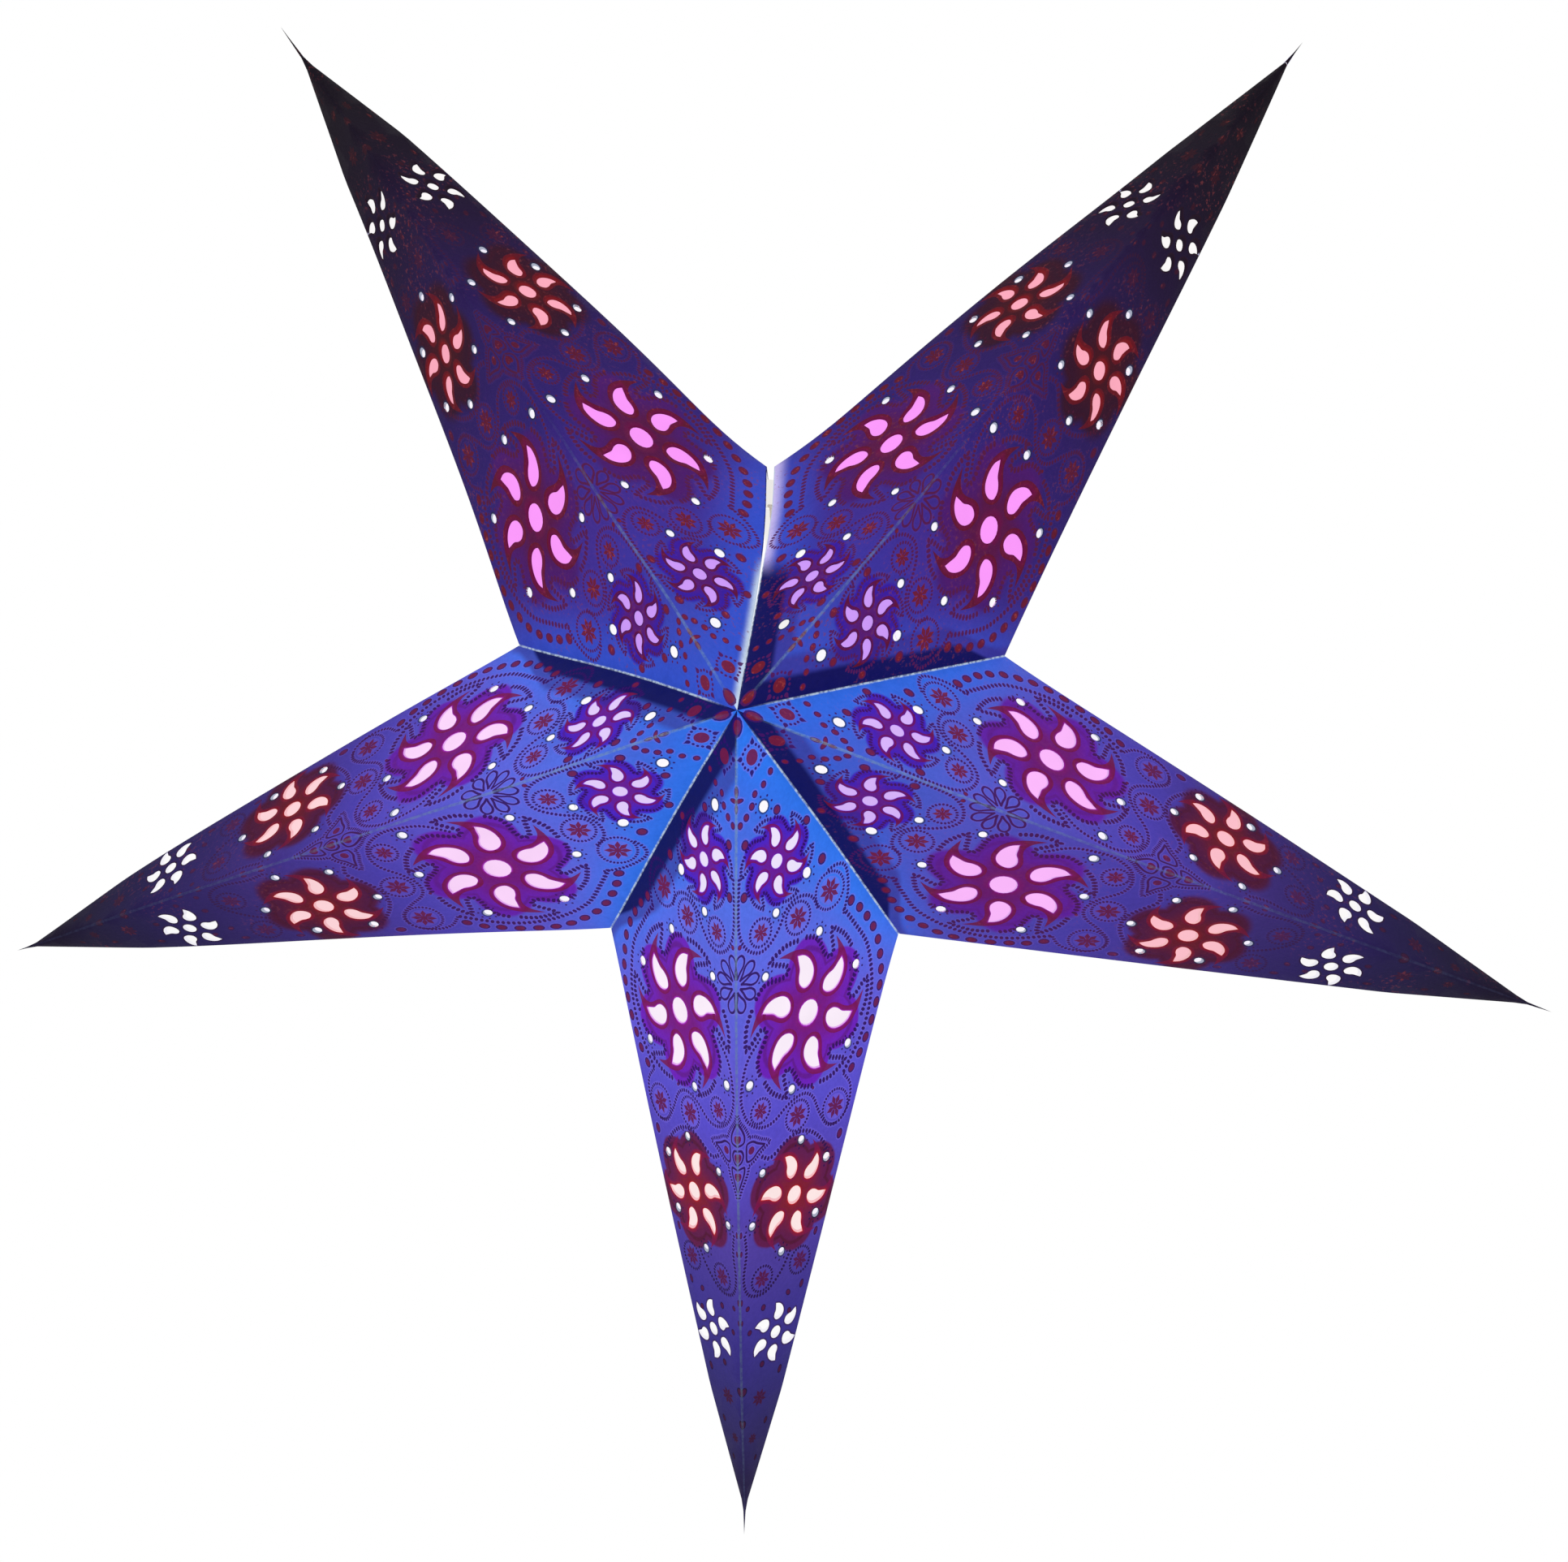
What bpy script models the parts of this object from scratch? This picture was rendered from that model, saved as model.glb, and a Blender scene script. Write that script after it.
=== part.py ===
"""Folded paper star lantern: five cut-paper arms that close like a fan, round a small lamp.

Metres, +Z up, the front faces -Y. The origin is the top of the cord grip, where the lamp's
cord comes out and holds the lantern up. Each arm is one folded sheet, split here at its creases
into four flat panels, and behind each panel lies the tissue that colours its cut-out flowers.
"""

import math

import bmesh
import bpy
from mathutils import Matrix, Vector

# Star, measured from its centre
TIP_RADIUS = 0.320
VALLEY_RADIUS = 0.098
HALF_DEPTH = 0.090
SEAM_GAP = 0.0043
ARM_STEPS = {
    "bottom": 0,
    "lower_left": 1,
    "upper_left": 2,
    "upper_right": -2,
    "lower_right": -1,
}

# Paper and tissue
PAPER_THICKNESS = 0.0005
TISSUE_THICKNESS = 0.00025
CREASE_GAP = 0.0003
TISSUE_GAP = 0.0003
TISSUE_MARGIN = 0.003
TISSUE_START_SHARE = 0.08
TISSUE_END_SHARE = 0.80

# Cut-out flowers, from the star's centre outwards. Places are shares of the ridge's length and
# of the panel's width, and each ring of petals is a share of the room round its centre.
FLOWER_ALONG_SHARES = (0.169, 0.358, 0.576, 0.743)
FLOWER_OFF_SHARES = (0.226, 0.429, 0.337, 0.2145)
FLOWER_RING_SHARES = (0.469, 0.468, 0.575, 0.640)
FLOWER_EYE_SHARE = 0.30
PETAL_COUNT = 6
EYE_CORNERS = 6
PETAL_TURN = math.radians(8)
PETAL_OUTLINE_SHARES = ((1.42, 0.155), (1.19, -0.19), (0.84, -0.27), (0.62, 0.0), (0.84, 0.19))

# Seam at the top: folded flaps with string holes
FLAP_WIDTH = 0.008
FLAP_START_SHARE = 0.16
FLAP_END_SHARE = 0.70
FLAP_EDGE_GAP = 0.001
STRING_HOLE_RADIUS = 0.0013
STRING_HOLE_CORNERS = 8
STRING_HOLE_INSET = 0.0045
HANGING_HOLE_SHARE = 0.655
TIE_HOLE_SHARE = 0.42

# Strings
STRING_RADIUS = 0.0006
STRING_GAP = 0.0004
STRING_SLACK = 0.0024
STRING_STEPS = 2
SHOULDER_ANGLES = (math.radians(50), math.radians(22))
COLLAR_SWEEP = math.radians(78)
COLLAR_STRETCHES = 6
TIE_RING_RADIUS = 0.0038
TIE_RING_STRETCHES = 6

# Lamp, heights measured down from the top of the cord grip
HANG_HEIGHT = 0.092
GRIP_RADIUS = 0.005
GRIP_STEM_RADIUS = 0.0042
GRIP_BORE_RADIUS = 0.0026
GRIP_HEAD_LENGTH = 0.0112
GRIP_LENGTH = 0.0200
FIT_GAP = 0.0003
HOLDER_RADIUS = 0.014
HOLDER_WALL = 0.0016
CAP_SHOULDER_RADIUS = 0.007
CAP_DOME_HEIGHT = 0.010
CAP_HEIGHT = 0.0190
NECK_LENGTH = 0.0058
BODY_LENGTH = 0.0383
BODY_TAPER = 0.0004
BODY_FLOOR = 0.003
SLEEVE_GAP = 0.0004
SLEEVE_WALL = 0.0004
SLEEVE_LENGTH = 0.0215
SLEEVE_LIP_RADIUS = 0.005
CONTACT_RADIUS = 0.003
CONTACT_HEIGHT = 0.0022
CONTACT_TIP_SHARE = 0.6
CONTACT_SIDE_SHARE = 0.35

# Bulb
GLOBE_RADIUS = 0.0225
GLOBE_WALL = 0.0008
GLOBE_NECK_GAP = 0.0003
GLOBE_NECK_END_GAP = 0.0015
GLOBE_SEAT_GAP = 0.0006
SCREW_RADIUS = 0.00695
SCREW_THREAD_DEPTH = 0.0004
SCREW_PITCH = 0.0028
SCREW_THREADS = 5
SCREW_WALL = 0.0007
SCREW_TOP_RADIUS = 0.003
SCREW_TOP_HEIGHT = 0.0035
SCREW_CLEARANCE = 0.00085
SCREW_SKIRT_FLARE = 0.00065
SCREW_SKIRT_LENGTH = 0.003
SCREW_DROP = 0.0012
END_CONTACT_RADIUS = 0.0022
END_CONTACT_HEIGHT = 0.0014

# Faces round the turned pieces
GRIP_STEPS = 16
HOLDER_STEPS = 24
SLEEVE_STEPS = 20
GLOBE_STEPS = 24
GLOBE_RINGS = 9
DOME_CORNERS = 4
TUBE_RESOLUTION = 2
MERGE_DISTANCE = 0.00001

SEAM_ANGLE = 2 * math.asin(SEAM_GAP / 2 / VALLEY_RADIUS)
ARM_PITCH = (2 * math.pi - SEAM_ANGLE) / len(ARM_STEPS)
STAR_CENTRE = Vector((0, 0, -HANG_HEIGHT))
SLEEVE_RADIUS = SCREW_RADIUS + SCREW_CLEARANCE + SLEEVE_WALL
BODY_BORE_RADIUS = SLEEVE_RADIUS + SLEEVE_GAP
SCREW_ROOT_RADIUS = SCREW_RADIUS - SCREW_THREAD_DEPTH
SCREW_BORE_RADIUS = SCREW_ROOT_RADIUS - SCREW_WALL
SCREW_SKIRT_RADIUS = SCREW_RADIUS + SCREW_SKIRT_FLARE
SCREW_LENGTH = SCREW_TOP_HEIGHT + SCREW_THREADS * SCREW_PITCH + SCREW_SKIRT_LENGTH


def clear_scene():
    for thing in list(bpy.data.objects):
        bpy.data.objects.remove(thing, do_unlink=True)


def new_collection(name):
    collection = bpy.data.collections.new(name)
    bpy.context.scene.collection.children.link(collection)
    return collection


def new_material(name, colour, roughness, metallic=0.0, transmission=0.0):
    material = bpy.data.materials.new(name)
    material.use_nodes = True
    shader = material.node_tree.nodes["Principled BSDF"]
    shader.inputs["Base Color"].default_value = (*colour, 1)
    shader.inputs["Roughness"].default_value = roughness
    shader.inputs["Metallic"].default_value = metallic
    shader.inputs["Transmission Weight"].default_value = transmission
    return material


def make_materials():
    return {
        "paper": new_material("printed_paper", (0.045, 0.030, 0.330), 0.75),
        "tissue": new_material("tissue", (0.900, 0.450, 0.800), 0.85),
        "flap": new_material("seam_paper", (0.030, 0.022, 0.200), 0.75),
        "string": new_material("cotton_string", (0.780, 0.740, 0.660), 0.9),
        "plastic": new_material("white_plastic", (0.820, 0.810, 0.780), 0.35),
        "grip": new_material("grip_plastic", (0.640, 0.630, 0.600), 0.4),
        "brass": new_material("brass", (0.780, 0.560, 0.250), 0.3, metallic=1.0),
        "glass": new_material("opal_glass", (0.950, 0.940, 0.900), 0.25, transmission=0.3),
    }


def add_object(name, data, material, collection, parent=None, matrix=None):
    thing = bpy.data.objects.new(name, data)
    data.materials.clear()
    data.materials.append(material)
    collection.objects.link(thing)
    if parent is not None:
        thing.parent = parent
    if matrix is not None:
        thing.matrix_local = matrix
    return thing


def add_empty(name, collection, parent, matrix):
    empty = bpy.data.objects.new(name, None)
    collection.objects.link(empty)
    empty.parent = parent
    empty.matrix_local = matrix
    return empty


def flat_plate(name, outlines, thickness):
    """A flat 2D curve: the first outline is the edge, and the others are holes in it."""
    curve = bpy.data.curves.new(name, "CURVE")
    curve.dimensions = "2D"
    curve.fill_mode = "BOTH"
    curve.extrude = thickness / 2
    for outline in outlines:
        spline = curve.splines.new("POLY")
        spline.points.add(len(outline) - 1)
        for point, (x, y) in zip(spline.points, outline):
            point.co = (x, y, 0, 1)
        spline.use_cyclic_u = True
    return curve


def tube(name, route, radius):
    """A round string along a route of points, with both ends closed."""
    curve = bpy.data.curves.new(name, "CURVE")
    curve.dimensions = "3D"
    curve.bevel_depth = radius
    curve.bevel_resolution = TUBE_RESOLUTION
    curve.use_fill_caps = True
    spline = curve.splines.new("POLY")
    spline.points.add(len(route) - 1)
    for point, place in zip(spline.points, route):
        point.co = (*place, 1)
    return curve


def turned(name, profile, closed):
    """A profile at +X, down its outer side, turned about Z. A stretch on the axis stays open."""
    mesh = bpy.data.meshes.new(name)
    shape = bmesh.new()
    points = [shape.verts.new((radius, 0, height)) for radius, height in profile]
    joined = list(zip(points, points[1:]))
    if closed:
        joined.append((points[-1], points[0]))
    for first, second in joined:
        if first.co.x > 0 or second.co.x > 0:
            shape.edges.new((first, second))
    shape.to_mesh(mesh)
    shape.free()
    mesh.shade_smooth()
    return mesh


def add_turned(name, profile, steps, material, collection, closed=False):
    thing = add_object(name, turned(name, profile, closed), material, collection)
    screw = thing.modifiers.new("turn", "SCREW")
    screw.axis = "Z"
    screw.steps = steps
    screw.render_steps = steps
    screw.use_merge_vertices = True
    screw.merge_threshold = MERGE_DISTANCE
    screw.use_smooth_shade = True
    return thing


def evenly(start, end, steps):
    """Values from start to end in equal steps."""
    return [start + (end - start) * index / steps for index in range(steps + 1)]


def smooth_route(points, steps):
    """Points on a smooth curve through the given ones, a few to each stretch."""
    places = [2 * points[0] - points[1], *points, 2 * points[-1] - points[-2]]
    route = []
    for before, start, end, after in zip(places, places[1:], places[2:], places[3:]):
        for step in range(steps):
            t = step / steps
            bend = 2 * before - 5 * start + 4 * end - after
            twist = 3 * (start - end) + after - before
            route.append(start + (t * (end - before) + t**2 * bend + t**3 * twist) / 2)
    route.append(places[-2])
    return route


class Panel:
    """One flat face of an arm that points down, with its own flat frame: x runs along the ridge
    from the star's centre to the tip, and y across the panel to its valley corner."""

    def __init__(self, front, right):
        depth = -HALF_DEPTH if front else HALF_DEPTH
        side = math.sin(ARM_PITCH / 2) if right else -math.sin(ARM_PITCH / 2)
        self.centre = Vector((0, depth, 0))
        self.tip = Vector((0, 0, -TIP_RADIUS))
        self.corner = VALLEY_RADIUS * Vector((side, 0, -math.cos(ARM_PITCH / 2)))
        ridge = self.tip - self.centre
        edge = self.corner - self.centre
        self.ridge_length = ridge.length
        self.along = ridge.normalized()
        self.corner_along = edge.dot(self.along)
        across = edge - self.corner_along * self.along
        self.width = across.length
        self.across = across.normalized()
        self.normal = self.along.cross(self.across)
        outward = self.normal.dot(Vector((0, depth, 0)))
        self.inward = -self.normal if outward > 0 else self.normal

    def matrix(self, inset):
        """The panel's frame, moved into the star by an inset."""
        columns = Matrix((self.along, self.across, self.normal)).transposed().to_4x4()
        return Matrix.Translation(self.centre + inset * self.inward) @ columns

    def corners(self):
        centre = Vector((0, 0))
        tip = Vector((self.ridge_length, 0))
        return centre, tip, Vector((self.corner_along, self.width))

    def crease_half_sines(self):
        """Sine of half the inner angle at the ridge and at the outer edge."""
        ridge_sine = abs(self.across.dot(Vector((1, 0, 0))))
        edge_way = (self.corner - self.tip).normalized()
        edge_across = edge_way.cross(self.normal).normalized()
        edge_sine = abs(edge_across.dot(Vector((0, 1, 0))))
        return ridge_sine, edge_sine


def crease_inset(half_sine, thickness):
    """How far a square-cut sheet stays back from a crease, so that its inner edge is clear."""
    half_cosine = math.sqrt(1 - half_sine**2)
    return (CREASE_GAP / 2 + thickness * half_cosine) / half_sine


def inset_triangle(corners, insets):
    """The triangle's corners after each side moves in: ridge, outer edge, valley edge."""
    lines = []
    count = len(corners)
    for index, inset in enumerate(insets):
        start, end = corners[index], corners[(index + 1) % count]
        way = (end - start).normalized()
        lines.append((start + inset * Vector((-way.y, way.x)), way))
    moved = []
    for index in range(count):
        (start, way), (other, other_way) = lines[index - 1], lines[index]
        reach = (other - start).cross(other_way) / way.cross(other_way)
        moved.append(start + reach * way)
    return moved


def cut_by_line(outline, low, high):
    """The part of an outline whose x lies between two values."""
    for limit, keep_above in ((low, True), (high, False)):
        kept = []
        for start, end in zip(outline, outline[1:] + outline[:1]):
            inside = (start.x >= limit) == keep_above
            if inside:
                kept.append(start)
            if inside != ((end.x >= limit) == keep_above):
                kept.append(start.lerp(end, (limit - start.x) / (end.x - start.x)))
        outline = kept
    return outline


def room_round(place, corners):
    """The distance from a point inside the triangle to its nearest side."""
    gaps = []
    for start, end in zip(corners, corners[1:] + corners[:1]):
        way = (end - start).normalized()
        gaps.append(abs((place - start).cross(way)))
    return min(gaps)


def circle(centre, radius, corners, turn=0):
    angles = [turn + 2 * math.pi * index / corners for index in range(corners)]
    return [centre + radius * Vector((math.cos(a), math.sin(a))) for a in angles]


def petal(centre, ring, angle):
    """One comma-shaped petal, its tail swirling away from the flower's centre."""
    way = Vector((math.cos(angle), math.sin(angle)))
    aside = Vector((-way.y, way.x))
    return [centre + ring * (out * way + over * aside) for out, over in PETAL_OUTLINE_SHARES]


def flower_cuts(panel):
    corners = list(panel.corners())
    cuts = []
    flowers = zip(FLOWER_ALONG_SHARES, FLOWER_OFF_SHARES, FLOWER_RING_SHARES)
    for along_share, off_share, ring_share in flowers:
        centre = Vector((along_share * panel.ridge_length, off_share * panel.width))
        ring = ring_share * room_round(centre, corners)
        for index in range(PETAL_COUNT):
            cuts.append(petal(centre, ring, PETAL_TURN + 2 * math.pi * index / PETAL_COUNT))
        cuts.append(circle(centre, FLOWER_EYE_SHARE * ring, EYE_CORNERS, PETAL_TURN))
    return cuts


def panel_curve(name, panel):
    ridge_sine, edge_sine = panel.crease_half_sines()
    insets = (
        crease_inset(ridge_sine, PAPER_THICKNESS),
        crease_inset(edge_sine, PAPER_THICKNESS),
        CREASE_GAP,
    )
    edge = inset_triangle(list(panel.corners()), insets)
    return flat_plate(name, [edge, *flower_cuts(panel)], PAPER_THICKNESS)


def tissue_curve(name, panel):
    edge = inset_triangle(list(panel.corners()), (TISSUE_MARGIN,) * 3)
    low = TISSUE_START_SHARE * panel.ridge_length
    high = TISSUE_END_SHARE * panel.ridge_length
    return flat_plate(name, [cut_by_line(edge, low, high)], TISSUE_THICKNESS)


def arm_turn(arm):
    """The turn about the star's axis that takes the bottom arm to this arm's place."""
    return Matrix.Rotation(ARM_STEPS[arm] * ARM_PITCH, 4, "Y")


def make_arm(arm, star, collection, materials):
    """One arm: four flat panels round the tip and the tissue glued behind each of them."""
    holder = add_empty(f"{arm}_arm", collection, star, arm_turn(arm))
    tissue_inset = PAPER_THICKNESS + TISSUE_GAP + TISSUE_THICKNESS / 2
    for face in ("front", "back"):
        for side in ("left", "right"):
            panel = Panel(face == "front", side == "right")
            place = f"{face}_{side}"
            name = f"{arm}_panel_{place}"
            curve = panel_curve(name, panel)
            matrix = panel.matrix(PAPER_THICKNESS / 2)
            add_object(name, curve, materials["paper"], collection, holder, matrix)
            name = f"{arm}_tissue_{place}"
            curve = tissue_curve(name, panel)
            matrix = panel.matrix(tissue_inset)
            add_object(name, curve, materials["tissue"], collection, holder, matrix)
    return holder


def seam_line():
    """The seam's edge in its own plane, x out from the star's axis and y into the star."""
    start = Vector((0, -HALF_DEPTH))
    end = Vector((VALLEY_RADIUS, 0))
    way = (end - start).normalized()
    return start, way, Vector((-way.y, way.x)), (end - start).length


def seam_place(share, inset):
    """A point on the seam's plane, a share of the way along the edge and an inset behind it."""
    start, way, inner, length = seam_line()
    return start + share * length * way + inset * inner


def flap_curve(name):
    edge = [
        seam_place(FLAP_START_SHARE, FLAP_EDGE_GAP),
        seam_place(FLAP_END_SHARE, FLAP_EDGE_GAP),
        seam_place(FLAP_END_SHARE, FLAP_EDGE_GAP + FLAP_WIDTH),
        seam_place(FLAP_START_SHARE, FLAP_EDGE_GAP + FLAP_WIDTH),
    ]
    holes = []
    for share in (HANGING_HOLE_SHARE, TIE_HOLE_SHARE):
        place = seam_place(share, STRING_HOLE_INSET)
        holes.append(circle(place, STRING_HOLE_RADIUS, STRING_HOLE_CORNERS))
    return flat_plate(name, [edge, *holes], PAPER_THICKNESS)


def seam_matrix(side, face, inset):
    """The seam plane's frame at one side: x out from the axis, y depth, z across the seam."""
    lean = -side * SEAM_ANGLE / 2
    out = Vector((-math.sin(lean), 0, math.cos(lean)))
    depth = Vector((0, 1, 0)) if face == "front" else Vector((0, -1, 0))
    across = out.cross(depth)
    away = Vector((side, 0, 0))
    inner = across if across.dot(away) > 0 else -across
    columns = Matrix((out, depth, across)).transposed().to_4x4()
    return Matrix.Translation(inset * inner) @ columns


def tie_ring(side, face):
    """Half a ring of string through a flap's hole and round the flap's inner edge."""
    place = seam_place(TIE_HOLE_SHARE, STRING_HOLE_INSET + TIE_RING_RADIUS)
    _, _, inner, _ = seam_line()
    matrix = seam_matrix(side, face, STRING_RADIUS + STRING_GAP / 2)
    across = 1 if (matrix.to_3x3() @ Vector((0, 0, 1))).x * side > 0 else -1
    route = []
    for angle in evenly(0, math.pi, TIE_RING_STRETCHES):
        flat = place - TIE_RING_RADIUS * math.cos(angle) * inner
        height = across * TIE_RING_RADIUS * math.sin(angle)
        route.append(matrix @ Vector((flat.x, flat.y, height)))
    return route


def round_lamp(side, reach, angle, height):
    """A point at a reach from the lamp's axis, on one side, at a height over the star's centre."""
    return Vector((side * reach * math.cos(angle), -reach * math.sin(angle), height))


def hanging_route(side):
    """A string from the front flap's hole over the cap's shoulder, round the grip, and down to
    the back flap in the same way."""
    hole = seam_place(HANGING_HOLE_SHARE, STRING_HOLE_INSET)
    start = seam_matrix(side, "front", STRING_RADIUS + STRING_GAP / 2) @ hole.to_3d()
    first = [start, start + STRING_SLACK * side * Vector((1, 0, 0))]
    clearance = STRING_RADIUS + STRING_GAP
    cap_top = HANG_HEIGHT - GRIP_HEAD_LENGTH
    cap_rise = HOLDER_RADIUS - CAP_SHOULDER_RADIUS
    for angle in SHOULDER_ANGLES:
        away = Vector((math.sin(angle) / cap_rise, math.cos(angle) / CAP_DOME_HEIGHT)).normalized()
        reach = CAP_SHOULDER_RADIUS + cap_rise * math.sin(angle) + clearance * away.x
        height = cap_top - CAP_DOME_HEIGHT * (1 - math.cos(angle)) + clearance * away.y
        first.append(round_lamp(side, reach, COLLAR_SWEEP, height))
    last = [Vector((place.x, -place.y, place.z)) for place in reversed(first)]
    collar = [
        round_lamp(side, GRIP_RADIUS + clearance, angle, cap_top + clearance)
        for angle in evenly(COLLAR_SWEEP, -COLLAR_SWEEP, COLLAR_STRETCHES)
    ]
    return smooth_route([*first, *collar, *last], STRING_STEPS)


def make_seam(star, arms, collection, materials):
    """The two upper arms' seam flaps and the strings that tie them and hang them on the lamp."""
    for side, word in ((-1, "left"), (1, "right")):
        arm = f"upper_{word}"
        holder = arms[arm]
        to_holder = arm_turn(arm).inverted()
        for face in ("front", "back"):
            name = f"seam_flap_{face}_{word}"
            matrix = to_holder @ seam_matrix(side, face, PAPER_THICKNESS / 2)
            add_object(name, flap_curve(name), materials["flap"], collection, holder, matrix)
            name = f"seam_tie_{face}_{word}"
            curve = tube(name, tie_ring(side, face), STRING_RADIUS)
            add_object(name, curve, materials["string"], collection, holder, to_holder)
        name = f"hanging_string_{word}"
        curve = tube(name, hanging_route(side), STRING_RADIUS)
        add_object(name, curve, materials["string"], collection, holder, to_holder)


def grip_profile():
    head_bottom = -GRIP_HEAD_LENGTH + FIT_GAP
    chamfer = GRIP_RADIUS - GRIP_STEM_RADIUS
    return [
        (GRIP_STEM_RADIUS, 0),
        (GRIP_RADIUS, -chamfer),
        (GRIP_RADIUS, head_bottom),
        (GRIP_STEM_RADIUS, head_bottom),
        (GRIP_STEM_RADIUS, -GRIP_LENGTH),
        (GRIP_BORE_RADIUS, -GRIP_LENGTH),
        (GRIP_BORE_RADIUS, 0),
    ]


def dome(radius, inner_radius, height, drop):
    """Points of a quarter-round shoulder, from its flat top out and down to its side."""
    points = []
    for angle in evenly(0, math.pi / 2, DOME_CORNERS):
        out = inner_radius + (radius - inner_radius) * math.sin(angle)
        points.append((out, height - drop * (1 - math.cos(angle))))
    return points


def cap_profile(top):
    hole = GRIP_STEM_RADIUS + FIT_GAP
    outer = dome(HOLDER_RADIUS, CAP_SHOULDER_RADIUS, top, CAP_DOME_HEIGHT)
    inner_radius = HOLDER_RADIUS - HOLDER_WALL
    inner = dome(inner_radius, CAP_SHOULDER_RADIUS, top - HOLDER_WALL, CAP_DOME_HEIGHT)
    bottom = top - CAP_HEIGHT
    return [
        (hole, top),
        *outer,
        (HOLDER_RADIUS, bottom),
        (inner_radius, bottom),
        *reversed(inner),
        (hole, top - HOLDER_WALL),
    ]


def body_heights():
    """Heights in the holder's body: its shoulder under the cap, its rim, and the floor that the
    bulb's stack of contacts needs above the rim."""
    shoulder = -GRIP_HEAD_LENGTH - CAP_HEIGHT - FIT_GAP
    rim = shoulder - BODY_LENGTH
    stack = CONTACT_HEIGHT + END_CONTACT_HEIGHT + SCREW_LENGTH + 3 * FIT_GAP
    return shoulder, rim, rim + stack - SCREW_DROP


def body_profile():
    shoulder, rim, floor = body_heights()
    neck_radius = HOLDER_RADIUS - HOLDER_WALL - FIT_GAP
    neck_top = shoulder + NECK_LENGTH
    cup_radius = neck_radius - HOLDER_WALL
    return [
        (0, floor + BODY_FLOOR),
        (cup_radius, floor + BODY_FLOOR),
        (cup_radius, neck_top),
        (neck_radius, neck_top),
        (neck_radius, shoulder),
        (HOLDER_RADIUS, shoulder),
        (HOLDER_RADIUS - BODY_TAPER, rim),
        (BODY_BORE_RADIUS, rim),
        (BODY_BORE_RADIUS, floor),
        (0, floor),
    ]


def sleeve_profile(top):
    inner = SLEEVE_RADIUS - SLEEVE_WALL
    return [
        (SLEEVE_LIP_RADIUS, top),
        (SLEEVE_RADIUS, top),
        (SLEEVE_RADIUS, top - SLEEVE_LENGTH),
        (inner, top - SLEEVE_LENGTH),
        (inner, top - SLEEVE_WALL),
        (SLEEVE_LIP_RADIUS, top - SLEEVE_WALL),
    ]


def contact_profile(top):
    """The socket's centre contact, narrower at its lower end."""
    bottom = top - CONTACT_HEIGHT
    side = top - CONTACT_SIDE_SHARE * CONTACT_HEIGHT
    tip_radius = CONTACT_TIP_SHARE * CONTACT_RADIUS
    return [
        (0, top),
        (CONTACT_RADIUS, top),
        (CONTACT_RADIUS, side),
        (tip_radius, bottom),
        (0, bottom),
    ]


def end_contact_profile(top):
    """The bulb's end contact, narrower at its upper end."""
    bottom = top - END_CONTACT_HEIGHT
    side = bottom + CONTACT_SIDE_SHARE * END_CONTACT_HEIGHT
    return [
        (0, top),
        (CONTACT_TIP_SHARE * END_CONTACT_RADIUS, top),
        (END_CONTACT_RADIUS, side),
        (END_CONTACT_RADIUS, bottom),
        (0, bottom),
    ]


def screw_profile(top):
    """The bulb's screw cap: a cone under the end contact, the thread, and an open skirt."""
    thread_top = top - SCREW_TOP_HEIGHT
    outer = [(0, top), (SCREW_TOP_RADIUS, top), (SCREW_ROOT_RADIUS, thread_top)]
    for index in range(SCREW_THREADS):
        start = thread_top - index * SCREW_PITCH
        outer.append((SCREW_RADIUS, start - SCREW_PITCH / 2))
        outer.append((SCREW_ROOT_RADIUS, start - SCREW_PITCH))
    bottom = top - SCREW_LENGTH
    outer.append((SCREW_SKIRT_RADIUS, bottom + SCREW_SKIRT_LENGTH / 2))
    outer.append((SCREW_SKIRT_RADIUS, bottom))
    ceiling = thread_top - SCREW_PITCH
    return [*outer, (SCREW_BORE_RADIUS, bottom), (SCREW_BORE_RADIUS, ceiling), (0, ceiling)]


def globe_profile(screw_top):
    """The glass: an open neck inside the screw cap, and a round bulb below it."""
    seat = screw_top - SCREW_LENGTH
    neck_top = screw_top - SCREW_TOP_HEIGHT - SCREW_PITCH - GLOBE_NECK_END_GAP
    neck_radius = SCREW_BORE_RADIUS - GLOBE_NECK_GAP
    neck_inner = neck_radius - GLOBE_WALL
    inner_radius = GLOBE_RADIUS - GLOBE_WALL
    centre = seat - GLOBE_SEAT_GAP - math.sqrt(GLOBE_RADIUS**2 - SCREW_SKIRT_RADIUS**2)
    outer = [(neck_radius, neck_top), (neck_radius, seat)]
    start = math.asin(SCREW_SKIRT_RADIUS / GLOBE_RADIUS)
    for angle in evenly(start, math.pi, GLOBE_RINGS)[:-1]:
        reach = GLOBE_RADIUS * math.sin(angle)
        outer.append((reach, centre + GLOBE_RADIUS * math.cos(angle)))
    outer.append((0, centre - GLOBE_RADIUS))
    inner = [(0, centre - inner_radius)]
    start = math.asin(neck_inner / inner_radius)
    for angle in evenly(math.pi, start, GLOBE_RINGS)[1:]:
        reach = inner_radius * math.sin(angle)
        inner.append((reach, centre + inner_radius * math.cos(angle)))
    return [*outer, *inner, (neck_inner, neck_top)]


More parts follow.
